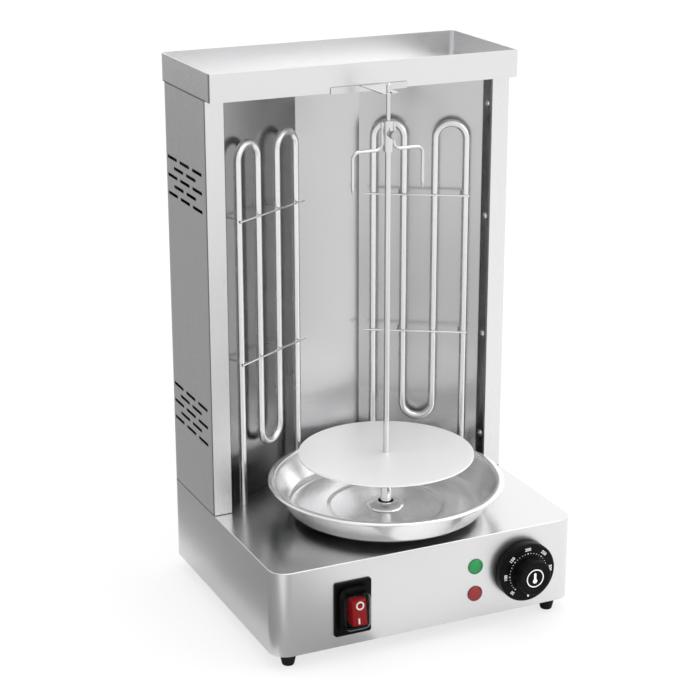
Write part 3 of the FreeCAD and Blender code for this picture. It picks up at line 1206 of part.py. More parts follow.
# Leads inside the base, each between two terminals
LEAD_RADIUS = 1.2
LEAD_BEND = 8
tab_end_z = bead_z - TAB[2]
blade_end_y = front_y + SWITCH_BODY_DEPTH + BLADE[1]
stat_back_y = inside_front_y + STAT_DEPTH
holder_back_y = inside_front_y + HOLDER_DEPTH
block_front_y = block_y - BLOCK[1] / 2
left_outer, right_outer = leg_points[1], leg_points[3]
left_inner, right_inner = leg_points[0], leg_points[2]
can_side_x = s.motor_radius
lead_routes = [
    [(left_inner.x, left_inner.y, tab_end_z), (left_inner.x, left_inner.y, 46),
     (right_inner.x, right_inner.y, 46), (right_inner.x, right_inner.y, tab_end_z)],
    [(s.switch_x - 8, blade_end_y, s.switch_z - 12), (s.switch_x - 8, left_outer.y, s.switch_z - 12),
     (left_outer.x, left_outer.y, s.switch_z - 12), (left_outer.x, left_outer.y, tab_end_z)],
    [(right_outer.x, right_outer.y, tab_end_z), (right_outer.x, right_outer.y, 50),
     (s.dial_x + 14, stat_back_y + 20, 50), (s.dial_x + 14, stat_back_y, 50)],
    [(block_x - 3, block_front_y, 25), (block_x - 3, block_front_y - 40, 25),
     (s.switch_x + 8, block_front_y - 40, 25), (s.switch_x + 8, blade_end_y + 40, 25),
     (s.switch_x + 8, blade_end_y + 14, s.switch_z - 12), (s.switch_x + 8, blade_end_y, s.switch_z - 12)],
    [(block_x + 11, block_front_y, 25), (block_x + 11, block_front_y - 80, 25),
     (s.dial_x - 12, stat_back_y + 22, 50), (s.dial_x - 12, stat_back_y, 50)],
    [(s.lamp_x, holder_back_y, s.green_lamp_z), (s.lamp_x, holder_back_y + 26, s.green_lamp_z),
     (s.dial_x - 9, stat_back_y + 26, 68), (s.dial_x - 9, stat_back_y, 68)],
    [(s.lamp_x, holder_back_y, s.red_lamp_z), (s.lamp_x, holder_back_y + 38, s.red_lamp_z),
     (s.switch_x + 8, blade_end_y + 25, s.switch_z + 12), (s.switch_x + 8, blade_end_y, s.switch_z + 12)],
    [(can_side_x, motor_y, 60), (can_side_x + 15, motor_y, 60), (block_x - 9, block_front_y - 15, 29),
     (block_x - 9, block_front_y, 29)]]
node("leads", feature("leads", Part.makeCompound(
    [tube_shape(route, LEAD_RADIUS, LEAD_BEND) for route in lead_routes])))

doc.recompute()
faults = []
for item in doc.Objects:
    if "Invalid" in item.State or "Error" in item.State:
        faults.append(f"{item.Name}: {item.State}")
for label, item in nodes.items():
    if item.Shape.isNull() or not item.Shape.isValid() or not item.Shape.Solids:
        faults.append(f"{label}: bad shape")
if faults:
    raise RuntimeError("; ".join(faults))

os.makedirs("parts", exist_ok=True)
for label, item in nodes.items():
    item.Shape.exportStep(f"parts/{label}.step")
print(len(nodes), "nodes written")
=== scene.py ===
"""Looks for the vertical grill: finishes for the CAD nodes, finer pieces where the eye goes, and a pale studio.

Lengths are metres in the model's frame: +Z up, the front faces -Y, the feet stand on z = 0.
"""
import math

import bpy
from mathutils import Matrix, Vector


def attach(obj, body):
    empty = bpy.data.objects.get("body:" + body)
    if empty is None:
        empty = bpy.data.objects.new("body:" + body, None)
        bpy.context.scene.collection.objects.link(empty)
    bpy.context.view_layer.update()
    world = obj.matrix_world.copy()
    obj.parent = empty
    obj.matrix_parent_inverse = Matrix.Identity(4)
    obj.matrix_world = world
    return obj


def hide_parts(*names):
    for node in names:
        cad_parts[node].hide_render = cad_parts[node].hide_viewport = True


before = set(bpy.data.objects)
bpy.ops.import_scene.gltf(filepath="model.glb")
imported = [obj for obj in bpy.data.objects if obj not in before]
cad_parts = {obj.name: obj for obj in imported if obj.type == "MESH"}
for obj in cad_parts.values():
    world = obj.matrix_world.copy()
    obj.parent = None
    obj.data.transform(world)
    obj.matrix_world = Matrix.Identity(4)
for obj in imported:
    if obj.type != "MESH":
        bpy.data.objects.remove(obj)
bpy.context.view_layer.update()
MM = 0.001


# ---------------------------------------------------------------- shader helpers

def add(tree, kind, inputs=None, **settings):
    """A shader node with its settings, its input values and its links."""
    made = tree.nodes.new(kind)
    for key, value in settings.items():
        setattr(made, key, value)
    for key, value in (inputs or {}).items():
        if isinstance(value, bpy.types.NodeSocket):
            tree.links.new(value, made.inputs[key])
        else:
            made.inputs[key].default_value = value
    return made


def new_group(name, inputs, outputs):
    """An empty node group with named sockets, and its two end nodes."""
    group = bpy.data.node_groups.new(name, "ShaderNodeTree")
    for label, kind, value in inputs:
        socket = group.interface.new_socket(name=label, in_out="INPUT", socket_type=kind)
        socket.default_value = value
    for label, kind in outputs:
        group.interface.new_socket(name=label, in_out="OUTPUT", socket_type=kind)
    return group, group.nodes.new("NodeGroupInput").outputs, group.nodes.new("NodeGroupOutput").inputs


def brushed_grain():
    """Fine lines of a sheet's brushing: one direction on faces that look forward or up, one on side faces."""
    group, given, out = new_group("Brushed grain", [
        ("Front scale", "NodeSocketVector", (30, 2600, 2600)),
        ("Side scale", "NodeSocketVector", (2600, 30, 2600)),
        ("Patch scale", "NodeSocketFloat", 9.0)],
        [("Lines", "NodeSocketFloat"), ("Patches", "NodeSocketFloat"), ("Walls", "NodeSocketFloat")])
    place = add(group, "ShaderNodeTexCoord").outputs["Object"]
    facing = add(group, "ShaderNodeSeparateXYZ",
                 {"Vector": add(group, "ShaderNodeNewGeometry").outputs["True Normal"]}).outputs
    level = add(group, "ShaderNodeMath", {0: facing["Z"]}, operation="ABSOLUTE").outputs[0]
    walls = add(group, "ShaderNodeMath", {0: level, 1: 0.75}, operation="LESS_THAN").outputs[0]
    sideways = add(group, "ShaderNodeMath", {0: facing["X"]}, operation="ABSOLUTE").outputs[0]
    sideways = add(group, "ShaderNodeMath", {0: sideways, 1: 0.75}, operation="GREATER_THAN").outputs[0]
    lines = []
    for scale in ("Front scale", "Side scale"):
        stretched = add(group, "ShaderNodeVectorMath", {0: place, 1: given[scale]}, operation="MULTIPLY")
        lines.append(add(group, "ShaderNodeTexNoise", {
            "Vector": stretched.outputs[0], "Scale": 1.0, "Detail": 2.0, "Roughness": 0.6}).outputs[0])
    mixed = add(group, "ShaderNodeMix", {0: sideways, 2: lines[0], 3: lines[1]})
    patches = add(group, "ShaderNodeTexNoise", {
        "Vector": place, "Scale": given["Patch scale"], "Detail": 3.0, "Roughness": 0.55})
    group.links.new(mixed.outputs[0], out["Lines"])
    group.links.new(patches.outputs[0], out["Patches"])
    group.links.new(walls, out["Walls"])
    return group


def lathe_rings():
    """Fine rings round an axis that the Turn input lays along Z and the Centre input carries to the origin."""
    group, given, out = new_group("Lathe rings", [
        ("Centre", "NodeSocketVector", (0, 0, 0)),
        ("Turn", "NodeSocketVector", (0, 0, 0)),
        ("Fineness", "NodeSocketFloat", 1500.0)],
        [("Rings", "NodeSocketFloat"), ("Patches", "NodeSocketFloat"), ("Radius", "NodeSocketFloat")])
    place = add(group, "ShaderNodeTexCoord").outputs["Object"]
    moved = add(group, "ShaderNodeVectorMath", {0: place, 1: given["Centre"]}, operation="SUBTRACT")
    turned_place = add(group, "ShaderNodeVectorRotate", {
        "Vector": moved.outputs[0], "Rotation": given["Turn"]}, rotation_type="EULER_XYZ").outputs[0]
    flat = add(group, "ShaderNodeVectorMath", {0: turned_place, 1: (1, 1, 0)}, operation="MULTIPLY").outputs[0]
    radius = add(group, "ShaderNodeVectorMath", {0: flat}, operation="LENGTH").outputs["Value"]
    height = add(group, "ShaderNodeSeparateXYZ", {"Vector": turned_place}).outputs["Z"]
    along = add(group, "ShaderNodeMath", {0: radius, 1: height}, operation="ADD").outputs[0]
    around = add(group, "ShaderNodeVectorMath", {0: flat}, operation="NORMALIZE").outputs[0]
    parts = add(group, "ShaderNodeSeparateXYZ", {"Vector": around}).outputs
    scaled = add(group, "ShaderNodeMath", {0: along, 1: given["Fineness"]}, operation="MULTIPLY").outputs[0]
    line = add(group, "ShaderNodeCombineXYZ", {"X": parts["X"], "Y": parts["Y"], "Z": scaled}).outputs[0]
    rings = add(group, "ShaderNodeTexNoise", {"Vector": line, "Scale": 1.0, "Detail": 2.0, "Roughness": 0.6})
    patches = add(group, "ShaderNodeTexNoise", {"Vector": place, "Scale": 22.0, "Detail": 3.0})
    group.links.new(rings.outputs[0], out["Rings"])
    group.links.new(patches.outputs[0], out["Patches"])
    group.links.new(radius, out["Radius"])
    return group


def fine_speckle():
    """The faint pitted texture of a moulded or cast surface, with slow patches of wear."""
    group, given, out = new_group("Fine speckle", [
        ("Pit scale", "NodeSocketFloat", 1800.0), ("Patch scale", "NodeSocketFloat", 40.0)],
        [("Pits", "NodeSocketFloat"), ("Patches", "NodeSocketFloat")])
    place = add(group, "ShaderNodeTexCoord").outputs["Object"]
    for label, scale in (("Pits", "Pit scale"), ("Patches", "Patch scale")):
        noise = add(group, "ShaderNodeTexNoise", {"Vector": place, "Scale": given[scale], "Detail": 2.0})
        group.links.new(noise.outputs[0], out[label])
    return group


def seam_shadow_lines():
    """Painted shadow lines at two joint heights, and painted shade on the turn of a fold at one depth, on a folded
    housing's sides.
    """
    group, given, out = new_group("Seam lines", [
        ("Low", "NodeSocketFloat", -1.0), ("High", "NodeSocketFloat", -1.0), ("Fold", "NodeSocketFloat", -1.0),
        ("Fold half", "NodeSocketFloat", 0.001), ("From x", "NodeSocketFloat", 0.0), ("From y", "NodeSocketFloat", -1.0)],
        [("Shade", "NodeSocketFloat")])
    place = add(group, "ShaderNodeSeparateXYZ",
                {"Vector": add(group, "ShaderNodeTexCoord").outputs["Object"]}).outputs
    across = add(group, "ShaderNodeMath", {0: place["X"]}, operation="ABSOLUTE").outputs[0]

    def near(value, mark, low, high):
        away = add(group, "ShaderNodeMath", {0: value, 1: given[mark]}, operation="SUBTRACT").outputs[0]
        away = add(group, "ShaderNodeMath", {0: away}, operation="ABSOLUTE").outputs[0]
        return add(group, "ShaderNodeMapRange", {"Value": away, "From Min": low * MM, "From Max": high * MM,
                                                 "To Min": 1.0, "To Max": 0.0}).outputs[0]

    joint = add(group, "ShaderNodeMath", {0: near(place["Z"], "Low", 0.4, 1.0), 1: near(place["Z"], "High", 0.4, 1.0)},
                operation="MAXIMUM").outputs[0]
    for value, mark in ((across, "From x"), (place["Y"], "From y")):
        beyond = add(group, "ShaderNodeMath", {0: value, 1: given[mark]}, operation="GREATER_THAN").outputs[0]
        joint = add(group, "ShaderNodeMath", {0: joint, 1: beyond}, operation="MULTIPLY").outputs[0]
    outer = add(group, "ShaderNodeMath", {0: across, 1: 164.6 * MM}, operation="GREATER_THAN").outputs[0]
    away = add(group, "ShaderNodeMath", {0: place["Y"], 1: given["Fold"]}, operation="SUBTRACT").outputs[0]
    away = add(group, "ShaderNodeMath", {0: away}, operation="ABSOLUTE").outputs[0]
    away = add(group, "ShaderNodeMath", {0: away, 1: given["Fold half"]}, operation="SUBTRACT").outputs[0]
    fold = add(group, "ShaderNodeMapRange", {"Value": away, "From Min": 0.0, "From Max": MM,
                                             "To Min": 0.72, "To Max": 0.0}).outputs[0]
    fold = add(group, "ShaderNodeMath", {0: fold, 1: outer}, operation="MULTIPLY").outputs[0]
    line = add(group, "ShaderNodeMath", {0: joint, 1: fold}, operation="MAXIMUM").outputs[0]
    group.links.new(add(group, "ShaderNodeMath", {0: line, 1: -0.86, 2: 1.0}, operation="MULTIPLY_ADD").outputs[0],
                    out["Shade"])
    return group


GRAIN = brushed_grain()
RINGS = lathe_rings()
SPECKLE = fine_speckle()
SEAM_SHADOWS = seam_shadow_lines()
UPRIGHT_GRAIN = {"Front scale": (2600, 2600, 30), "Side scale": (2600, 2600, 30)}
LEVEL_GRAIN = {"Front scale": (30, 2600, 2600), "Side scale": (2600, 30, 2600)}


def new_material(name, colour, metallic=0.0, **constants):
    """A material with its Principled shader's plain values set."""
    material = bpy.data.materials.new(name)
    material.use_nodes = True
    tree = material.node_tree
    shader = tree.nodes["Principled BSDF"]
    shader.inputs["Base Color"].default_value = (*colour, 1)
    shader.inputs["Metallic"].default_value = metallic
    for key, value in constants.items():
        shader.inputs[key.replace("_", " ").title().replace("Ior", "IOR")].default_value = value
    return material, tree, shader


def spread(tree, mask, low, high):
    """A mask between 0.3 and 0.7 spread between two values."""
    return add(tree, "ShaderNodeMapRange", {
        "Value": mask, "From Min": 0.3, "From Max": 0.7, "To Min": low, "To Max": high}).outputs[0]


def textured(name, colour, texture, detail, patches, roughness, metallic=0.0, tint=0.06,
             relief=0.02, relief_depth=0.02, settings=None, wall_haze=0.0, grime=0.0, seams=None, **constants):
    """A finish from one texture group: its detail gives relief and roughness, its patches a slow change of tone.

    Upright faces are rougher by the wall haze, and painted shade from an ambient occlusion node darkens the crevices
    where pieces meet."""
    material, tree, shader = new_material(name, colour, metallic, **constants)
    pattern = tree.nodes.new("ShaderNodeGroup")
    pattern.node_tree = texture
    for key, value in (settings or {}).items():
        pattern.inputs[key].default_value = value
    low, high = roughness
    middle = (low + high) / 2
    fine = spread(tree, pattern.outputs[detail], low - middle, high - middle)
    slow = spread(tree, pattern.outputs[patches], low, high)
    total = add(tree, "ShaderNodeMath", {0: fine, 1: slow}, operation="ADD").outputs[0]
    if wall_haze:
        total = add(tree, "ShaderNodeMath", {0: pattern.outputs["Walls"], 1: wall_haze, 2: total},
                    operation="MULTIPLY_ADD").outputs[0]
    tree.links.new(total, shader.inputs["Roughness"])
    shade = tuple(c * (1 - tint) for c in colour)
    mixed = add(tree, "ShaderNodeMix", {0: pattern.outputs[detail], 6: (*shade, 1), 7: (*colour, 1)},
                data_type="RGBA")
    shown = mixed.outputs[2]
    # Painted shade: an ambient occlusion node darkens the colour in crevices and where pieces meet.
    if grime:
        closed = add(tree, "ShaderNodeAmbientOcclusion", {"Distance": grime * MM}, samples=8).outputs["AO"]
        seam = add(tree, "ShaderNodeMapRange", {"Value": closed, "From Min": 0.35, "From Max": 0.85,
                                                "To Min": 0.12, "To Max": 1.0}).outputs[0]
        shown = add(tree, "ShaderNodeVectorMath", {0: shown, "Scale": seam}, operation="SCALE").outputs[0]
    # Painted shadow: dark lines along the joints and on the turn of a fold.
    if seams:
        lines = tree.nodes.new("ShaderNodeGroup")
        lines.node_tree = SEAM_SHADOWS
        for key, value in seams.items():
            lines.inputs[key].default_value = value * MM
        shown = add(tree, "ShaderNodeVectorMath", {0: shown, "Scale": lines.outputs[0]}, operation="SCALE").outputs[0]
    tree.links.new(shown, shader.inputs["Base Color"])
    bump = add(tree, "ShaderNodeBump", {"Strength": relief, "Distance": relief_depth * MM,
                                        "Height": pattern.outputs[detail]})
    tree.links.new(bump.outputs[0], shader.inputs["Normal"])
    return material


def sheet_metal(name, colour, roughness, grain, **more):
    return textured(name, colour, GRAIN, "Lines", "Patches", roughness, metallic=1.0, settings=grain, **more)


def turned_metal(name, colour, roughness, centre=(0, 0, 0), turn=(0, 0, 0), metallic=1.0, **more):
    return textured(name, colour, RINGS, "Rings", "Patches", roughness, metallic=metallic,
                    settings={"Centre": centre, "Turn": turn}, **more)


def moulded(name, colour, roughness, pits=1800.0, **more):
    return textured(name, colour, SPECKLE, "Pits", "Patches", roughness, settings={"Pit scale": pits}, **more)


SPIT_X, SPIT_Y = 0.0, -32.5 * MM
DIAL = Vector((104.5, -131.5, 60)) * MM
LOOKS_FORWARD = (math.radians(90), 0, 0)
STEEL = (0.67, 0.67, 0.675)

shell_steel = sheet_metal("shell_steel", STEEL, (0.22, 0.26), LEVEL_GRAIN, relief=0.012, tint=0.015, wall_haze=0.07,
                          grime=1.6, seams={"Low": 104, "From x": 163.2, "From y": 25.5})
tower_steel = sheet_metal("tower_steel", STEEL, (0.27, 0.31), UPRIGHT_GRAIN, relief=0.012, tint=0.015,
                          seams={"Low": 104, "High": 530, "Fold": 26.9, "Fold half": 0.9})
# Painted shade: the reflector's steel is a darker copy of the housing steel, for the dim cooking space.
reflector_steel = sheet_metal("reflector_steel", (0.51, 0.51, 0.515), (0.22, 0.26), UPRIGHT_GRAIN, relief=0.01,
                              tint=0.015, grime=1.2)
tray_steel = sheet_metal("tray_steel", (0.72, 0.72, 0.725), (0.27, 0.31), LEVEL_GRAIN, relief=0.012, tint=0.015,
                         seams={"Low": 530, "Fold": 13.2, "Fold half": 1.8})
# Painted light: the tray floor's steel is a lighter copy of the housing steel, for the light falling into the tray.
tray_floor_steel = sheet_metal("tray_floor_steel", (0.88, 0.88, 0.885), (0.34, 0.40), LEVEL_GRAIN, relief=0.02,
                               tint=0.02, grime=1.6)
bracket_steel = sheet_metal("bracket_steel", (0.62, 0.62, 0.625), (0.22, 0.28), LEVEL_GRAIN, relief=0.012, tint=0.015,
                            grime=1.2)
spun_steel = turned_metal("spun_steel", (0.88, 0.88, 0.885), (0.20, 0.26), centre=(SPIT_X, SPIT_Y, 0),
                          relief=0.03, relief_depth=0.03, tint=0.03, metallic=0.90, grime=1.2)
disc_steel = turned_metal("disc_steel", (0.99, 0.99, 0.99), (0.42, 0.50), centre=(SPIT_X, SPIT_Y, 0), relief=0.06,
                          metallic=0.50)
rod_steel = turned_metal("rod_steel", (0.64, 0.64, 0.645), (0.12, 0.18), centre=(SPIT_X, SPIT_Y, 0), relief=0.08)
socket_steel = turned_metal("socket_steel", (0.86, 0.86, 0.865), (0.12, 0.18), centre=(SPIT_X, SPIT_Y, 0),
                            relief=0.08)
heater_steel = moulded("heater_steel", (0.74, 0.74, 0.74), (0.18, 0.26), pits=900.0, metallic=1.0, relief=0.05)
chrome = moulded("chrome", (0.78, 0.79, 0.80), (0.06, 0.10), pits=700.0, metallic=1.0, relief=0.02)
zinc = moulded("zinc_plate", (0.46, 0.47, 0.46), (0.28, 0.40), pits=500.0, metallic=1.0, relief=0.06)
brass = moulded("brass", (0.70, 0.52, 0.24), (0.22, 0.32), pits=600.0, metallic=1.0, relief=0.05)
copper = turned_metal("enamelled_wire", (0.48, 0.17, 0.07), (0.22, 0.32), centre=(0, -19.5 * MM, 0), relief=0.5,
                      relief_depth=0.2, coat_weight=0.5)
magnet = moulded("rotor_magnet", (0.07, 0.07, 0.075), (0.40, 0.52), pits=900.0, relief=0.2)
black_plastic = moulded("black_plastic", (0.0025, 0.0025, 0.003), (0.32, 0.44), relief=0.25, relief_depth=0.04,
                        specular_ior_level=0.09)
rubber = moulded("black_rubber", (0.006, 0.006, 0.006), (0.55, 0.70), pits=1200.0, relief=0.3, relief_depth=0.05,
                 specular_ior_level=0.2)
white_plastic = moulded("white_plastic", (0.80, 0.80, 0.78), (0.35, 0.45), relief=0.12)
gear_plastic = moulded("gear_plastic", (0.86, 0.84, 0.78), (0.32, 0.42), relief=0.10)
ceramic = moulded("ceramic", (0.78, 0.76, 0.71), (0.45, 0.58), pits=1400.0, relief=0.3, relief_depth=0.05)
red_plastic = moulded("red_plastic", (0.31, 0.004, 0.006), (0.14, 0.20), relief=0.04, specular_ior_level=0.12)
mark_paint = moulded("mark_paint", (0.92, 0.91, 0.90), (0.40, 0.50), relief=0.08)


def paint_shade(material, measure, inner, outer, shade):
    """Paints shade onto a sheet: darkens its colour by one factor where a measure of the place is below a mark, in
    millimetres.
    """
    tree = material.node_tree
    colour = tree.nodes["Principled BSDF"].inputs["Base Color"]
    value = measure(tree, add(tree, "ShaderNodeTexCoord").outputs["Object"])
    factor = add(tree, "ShaderNodeMapRange", {"Value": value, "From Min": inner * MM, "From Max": outer * MM,
                                              "To Min": shade, "To Max": 1.0}, interpolation_type="SMOOTHSTEP")
    darkened_colour = add(tree, "ShaderNodeVectorMath",
                 {0: colour.links[0].from_socket, "Scale": factor.outputs[0]}, operation="SCALE")
    tree.links.new(darkened_colour.outputs[0], colour)


def across(tree, place):
    """How far to the right a place is."""
    return add(tree, "ShaderNodeSeparateXYZ", {"Vector": place}).outputs["X"]


def inward(tree, place):
    """Minus the distance from the middle plane."""
    off = add(tree, "ShaderNodeMath", {0: across(tree, place)}, operation="ABSOLUTE").outputs[0]
    return add(tree, "ShaderNodeMath", {0: off, 1: -1.0}, operation="MULTIPLY").outputs[0]


def from_deck_shade(tree, place):
    """The distance from the middle of the painted shade on the deck, left of the pan."""
    return add(tree, "ShaderNodeVectorMath", {0: place, 1: tuple(v * MM for v in (-98, -44, 104))},
               operation="DISTANCE").outputs["Value"]


# Painted shade: the reflector's left splay and its two inner side strips are darkened.
paint_shade(reflector_steel, across, -37.5, -36.5, 0.62)
paint_shade(reflector_steel, inward, -145.0, -144.4, 0.62)
# Painted shade: a dark patch on the deck, left of the pan.
paint_shade(shell_steel, from_deck_shade, 12, 56, 0.60)


def lens_material(name, colour, dark):
    """A coloured lens: painted shade darkening it towards its rim where it turns from view, a fine lattice inside, and
    a glossy coat.
    """
    material, tree, shader = new_material(name, colour, coat_weight=0.15, coat_roughness=0.05, roughness=0.25, specular_ior_level=0.3,
                                          subsurface_weight=0.15, subsurface_scale=0.002)
    # Painted shade: the colour goes darker where the lens faces away from the view.
    edge = add(tree, "ShaderNodeLayerWeight", {"Blend": 0.55}).outputs["Facing"]
    place = add(tree, "ShaderNodeTexCoord").outputs["Object"]
    lattice = add(tree, "ShaderNodeTexVoronoi", {"Vector": place, "Scale": 700.0, "Randomness": 0.0}).outputs[0]
    mixed = add(tree, "ShaderNodeMix", {0: edge, 6: (*colour, 1), 7: (*dark, 1)}, data_type="RGBA").outputs[2]
    spots = add(tree, "ShaderNodeMapRange", {"Value": lattice, "From Min": 0.0, "From Max": 0.8,
                                             "To Min": 1.0, "To Max": 0.72}).outputs[0]
    shaded = add(tree, "ShaderNodeVectorMath", {0: mixed, "Scale": spots}, operation="SCALE").outputs[0]
    tree.links.new(shaded, shader.inputs["Base Color"])
    bump = add(tree, "ShaderNodeBump", {"Strength": 0.25, "Distance": 0.1 * MM, "Height": lattice})
    tree.links.new(bump.outputs[0], shader.inputs["Normal"])
    return material


green_lens = lens_material("green_lens", (0.022, 0.36, 0.10), (0.0, 0.08, 0.025))
red_lens = lens_material("red_lens", (0.36, 0.030, 0.026), (0.08, 0.003, 0.004))


def clear_material():
    """The clear boot's vinyl: see-through, a little cloudy in patches."""
    material, tree, shader = new_material("clear_vinyl", (0.96, 0.97, 0.97), transmission_weight=1.0, ior=1.13)
    pattern = tree.nodes.new("ShaderNodeGroup")
    pattern.node_tree = SPECKLE
    pattern.inputs["Patch scale"].default_value = 120.0
    tree.links.new(spread(tree, pattern.outputs["Patches"], 0.02, 0.08), shader.inputs["Roughness"])
    return material


clear_vinyl = clear_material()

SLOT_LOOKS = {
    "steel_shell": shell_steel, "steel_polished": rod_steel, "zinc_steel": zinc, "heater_tube": heater_steel,
    "chrome": chrome, "brass": brass, "black_plastic": black_plastic, "black_rubber": rubber,
    "white_plastic": white_plastic, "gear_plastic": gear_plastic, "ceramic": ceramic,
    "red_plastic": red_plastic, "green_lens": green_lens, "red_lens": red_lens,
    "clear_plastic": clear_vinyl, "enamelled_copper": copper, "rotor_magnet": magnet}
NODE_LOOKS = {
    "tower_shell": tower_steel, "reflector": reflector_steel, "top_bracket": bracket_steel,
    "tray_band": tray_steel, "tray_floor": tray_floor_steel,
    "spit_disc": disc_steel, "disc_hub": socket_steel, "drive_socket": socket_steel,
    "fork_thumb_screw": zinc}

for label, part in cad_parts.items():
    for held in part.material_slots:
        slot_name = held.material.name.split(".")[0] if held.material else ""
        held.material = NODE_LOOKS.get(label) or SLOT_LOOKS.get(slot_name, shell_steel)


# ---------------------------------------------------------------- modelling helpers

def clear_selection():
    if bpy.context.object and bpy.context.object.mode != "OBJECT":
        bpy.ops.object.mode_set(mode="OBJECT")
    bpy.ops.object.select_all(action="DESELECT")


def pick(*pieces):
    clear_selection()
    for piece in pieces:
        piece.select_set(True)
    bpy.context.view_layer.objects.active = pieces[0]


def select_where(piece, kind, wanted):
    """In edit mode, selects the faces or edges for which wanted says yes."""
    bpy.ops.mesh.select_mode(type={"polygons": "FACE", "edges": "EDGE"}[kind])
    bpy.ops.mesh.select_all(action="DESELECT")
    bpy.ops.object.mode_set(mode="OBJECT")
    for item in getattr(piece.data, kind):
        item.select = wanted(item)
    bpy.ops.object.mode_set(mode="EDIT")


def chain(name, points):
    """A line of vertices through the points, one extrude after another, left selected in edit mode."""
    clear_selection()
    bpy.ops.mesh.primitive_plane_add(size=MM, location=(0, 0, 0))
    piece = bpy.context.object
    piece.name = name
    bpy.ops.object.mode_set(mode="EDIT")
    bpy.ops.mesh.select_mode(type="VERT")
    bpy.ops.mesh.select_all(action="SELECT")
    bpy.ops.mesh.merge(type="CENTER")
    here = Vector((0, 0, 0))
    first = True
    for point in points:
        step = Vector(point) - here
        if first:
            bpy.ops.transform.translate(value=step)
        else:
            bpy.ops.mesh.extrude_region_move(TRANSFORM_OT_translate={"value": step})
        here, first = Vector(point), False
    bpy.ops.mesh.select_all(action="SELECT")
    return piece


def tidy_faces():
    bpy.ops.mesh.select_all(action="SELECT")
    bpy.ops.mesh.remove_doubles(threshold=0.002 * MM)
    bpy.ops.mesh.normals_make_consistent(inside=False)
    bpy.ops.object.mode_set(mode="OBJECT")


def turned(name, profile, steps=64):
    """A lathe shape about Z from (radius, height) points in millimetres."""
    piece = chain(name, [(radius * MM, 0, height * MM) for radius, height in profile])
    bpy.ops.mesh.spin(steps=steps, angle=math.tau, center=(0, 0, 0), axis=(0, 0, 1))
    tidy_faces()
    return piece


def prism(name, corners, depth):
    """A closed outline of (x, z) points in millimetres, filled and given its depth along +Y."""
    points = [(x * MM, 0, z * MM) for x, z in corners]
    piece = chain(name, points + points[:1])
    bpy.ops.mesh.remove_doubles(threshold=0.002 * MM)
    bpy.ops.mesh.edge_face_add()
    bpy.ops.mesh.extrude_region_move(TRANSFORM_OT_translate={"value": (0, depth * MM, 0)})
    tidy_faces()
    return piece


def apply_modifier(piece, kind, **settings):
    modifier = piece.modifiers.new(kind.title(), kind)
    for key, value in settings.items():
        setattr(modifier, key, value)
    pick(piece)
    bpy.ops.object.modifier_apply(modifier=modifier.name)


def soften(piece, width, segments=3, angle=35):
    """Rounds the edges sharper than the angle; the width is in millimetres."""
    apply_modifier(piece, "BEVEL", width=width * MM, segments=segments, limit_method="ANGLE",
                   angle_limit=math.radians(angle), use_clamp_overlap=True)


def move_to(piece, place, turn=(0, 0, 0)):
    """Turns the piece, carries it to its place in millimetres, and puts both into its mesh."""
    piece.rotation_euler = [math.radians(angle) for angle in turn]
    piece.location = Vector(place) * MM
    pick(piece)
    bpy.ops.object.transform_apply(location=True, rotation=True, scale=True)


def copied(piece, shift, turn=(0, 0, 0)):
    """A copy with its own mesh, turned about the origin first and then shifted in millimetres."""
    pick(piece)
    bpy.ops.object.duplicate(linked=False)
    twin = bpy.context.object
    move_to(twin, shift, turn)
    return twin


def joined(name, pieces):
    pick(*pieces)
    if len(pieces) > 1:
        bpy.ops.object.join()
    piece = bpy.context.object
    piece.name = name
    return piece


def finished(piece, look, slot, body, *replaced, smooth=35):
    """Gives a piece its material, smooth shading and body, and hides the nodes it stands for."""
    piece.data.materials.clear()
    piece.data.materials.append(look)
    pick(piece)
    bpy.ops.object.shade_smooth_by_angle(angle=math.radians(smooth))
    if replaced:
        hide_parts(*replaced)
    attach(piece, body)
    return piece


def arc(centre, radius, start, end, count):
    """Points on a circle from one angle to another in degrees, both ends included."""
    turns = [math.radians(start + (end - start) * i / (count - 1)) for i in range(count)]
    return [(centre[0] + radius * math.cos(t), centre[1] + radius * math.sin(t)) for t in turns]


def through(one, two, three, count):
    """Points on the circular arc through three points."""
    (ax, ay), (bx, by), (cx, cy) = one, two, three
    d = 2 * (ax * (by - cy) + bx * (cy - ay) + cx * (ay - by))
    aa, bb, cc = ax * ax + ay * ay, bx * bx + by * by, cx * cx + cy * cy
    ux = (aa * (by - cy) + bb * (cy - ay) + cc * (ay - by)) / d
    uy = (aa * (cx - bx) + bb * (ax - cx) + cc * (bx - ax)) / d
    radius = math.hypot(ax - ux, ay - uy)
    angles = [math.degrees(math.atan2(y - uy, x - ux)) for x, y in (one, two, three)]
    start, middle, end = angles
    while middle - start > 180: middle -= 360
    while middle - start < -180: middle += 360
    while end - middle > 180: end -= 360
    while end - middle < -180: end += 360
    return arc((ux, uy), radius, start, end, count)


# ---------------------------------------------------------------- drip pan

def make_drip_pan():
    """A spun dish: domed middle with a hole, two low steps, a curved wall and a lip with a rolled edge."""
    line = through((8, 10.4), (14.6, 9.6), (18.2, 7.6), 9) + [(19.0, 6.7), (19.3, 5.9), (19.6, 5.5), (20.2, 5.4)]
    line += [(38, 5.4), (56.2, 5.4), (57.4, 5.6), (58.4, 6.1), (59.5, 6.6), (60.8, 6.9), (76, 6.9), (92, 6.9)]
    line += arc((93, 16.5), 9.6, -90, -24.5, 9) + [(106, 21.2), (111.2, 31.8)]
    line += through((112.1, 33.9), (113.2, 35.3), (115.2, 36.1), 5) + [(118.4, 36.35)]
    line += arc((118.5, 34.85), 1.5, 80, -60, 6)
    pan = turned("drip_pan_dish", line, steps=128)
    apply_modifier(pan, "SOLIDIFY", thickness=0.8 * MM, offset=0)
    move_to(pan, (0, -32.5, 104))
    finished(pan, spun_steel, "steel_polished", "pan", "drip_pan", smooth=40)


make_drip_pan()


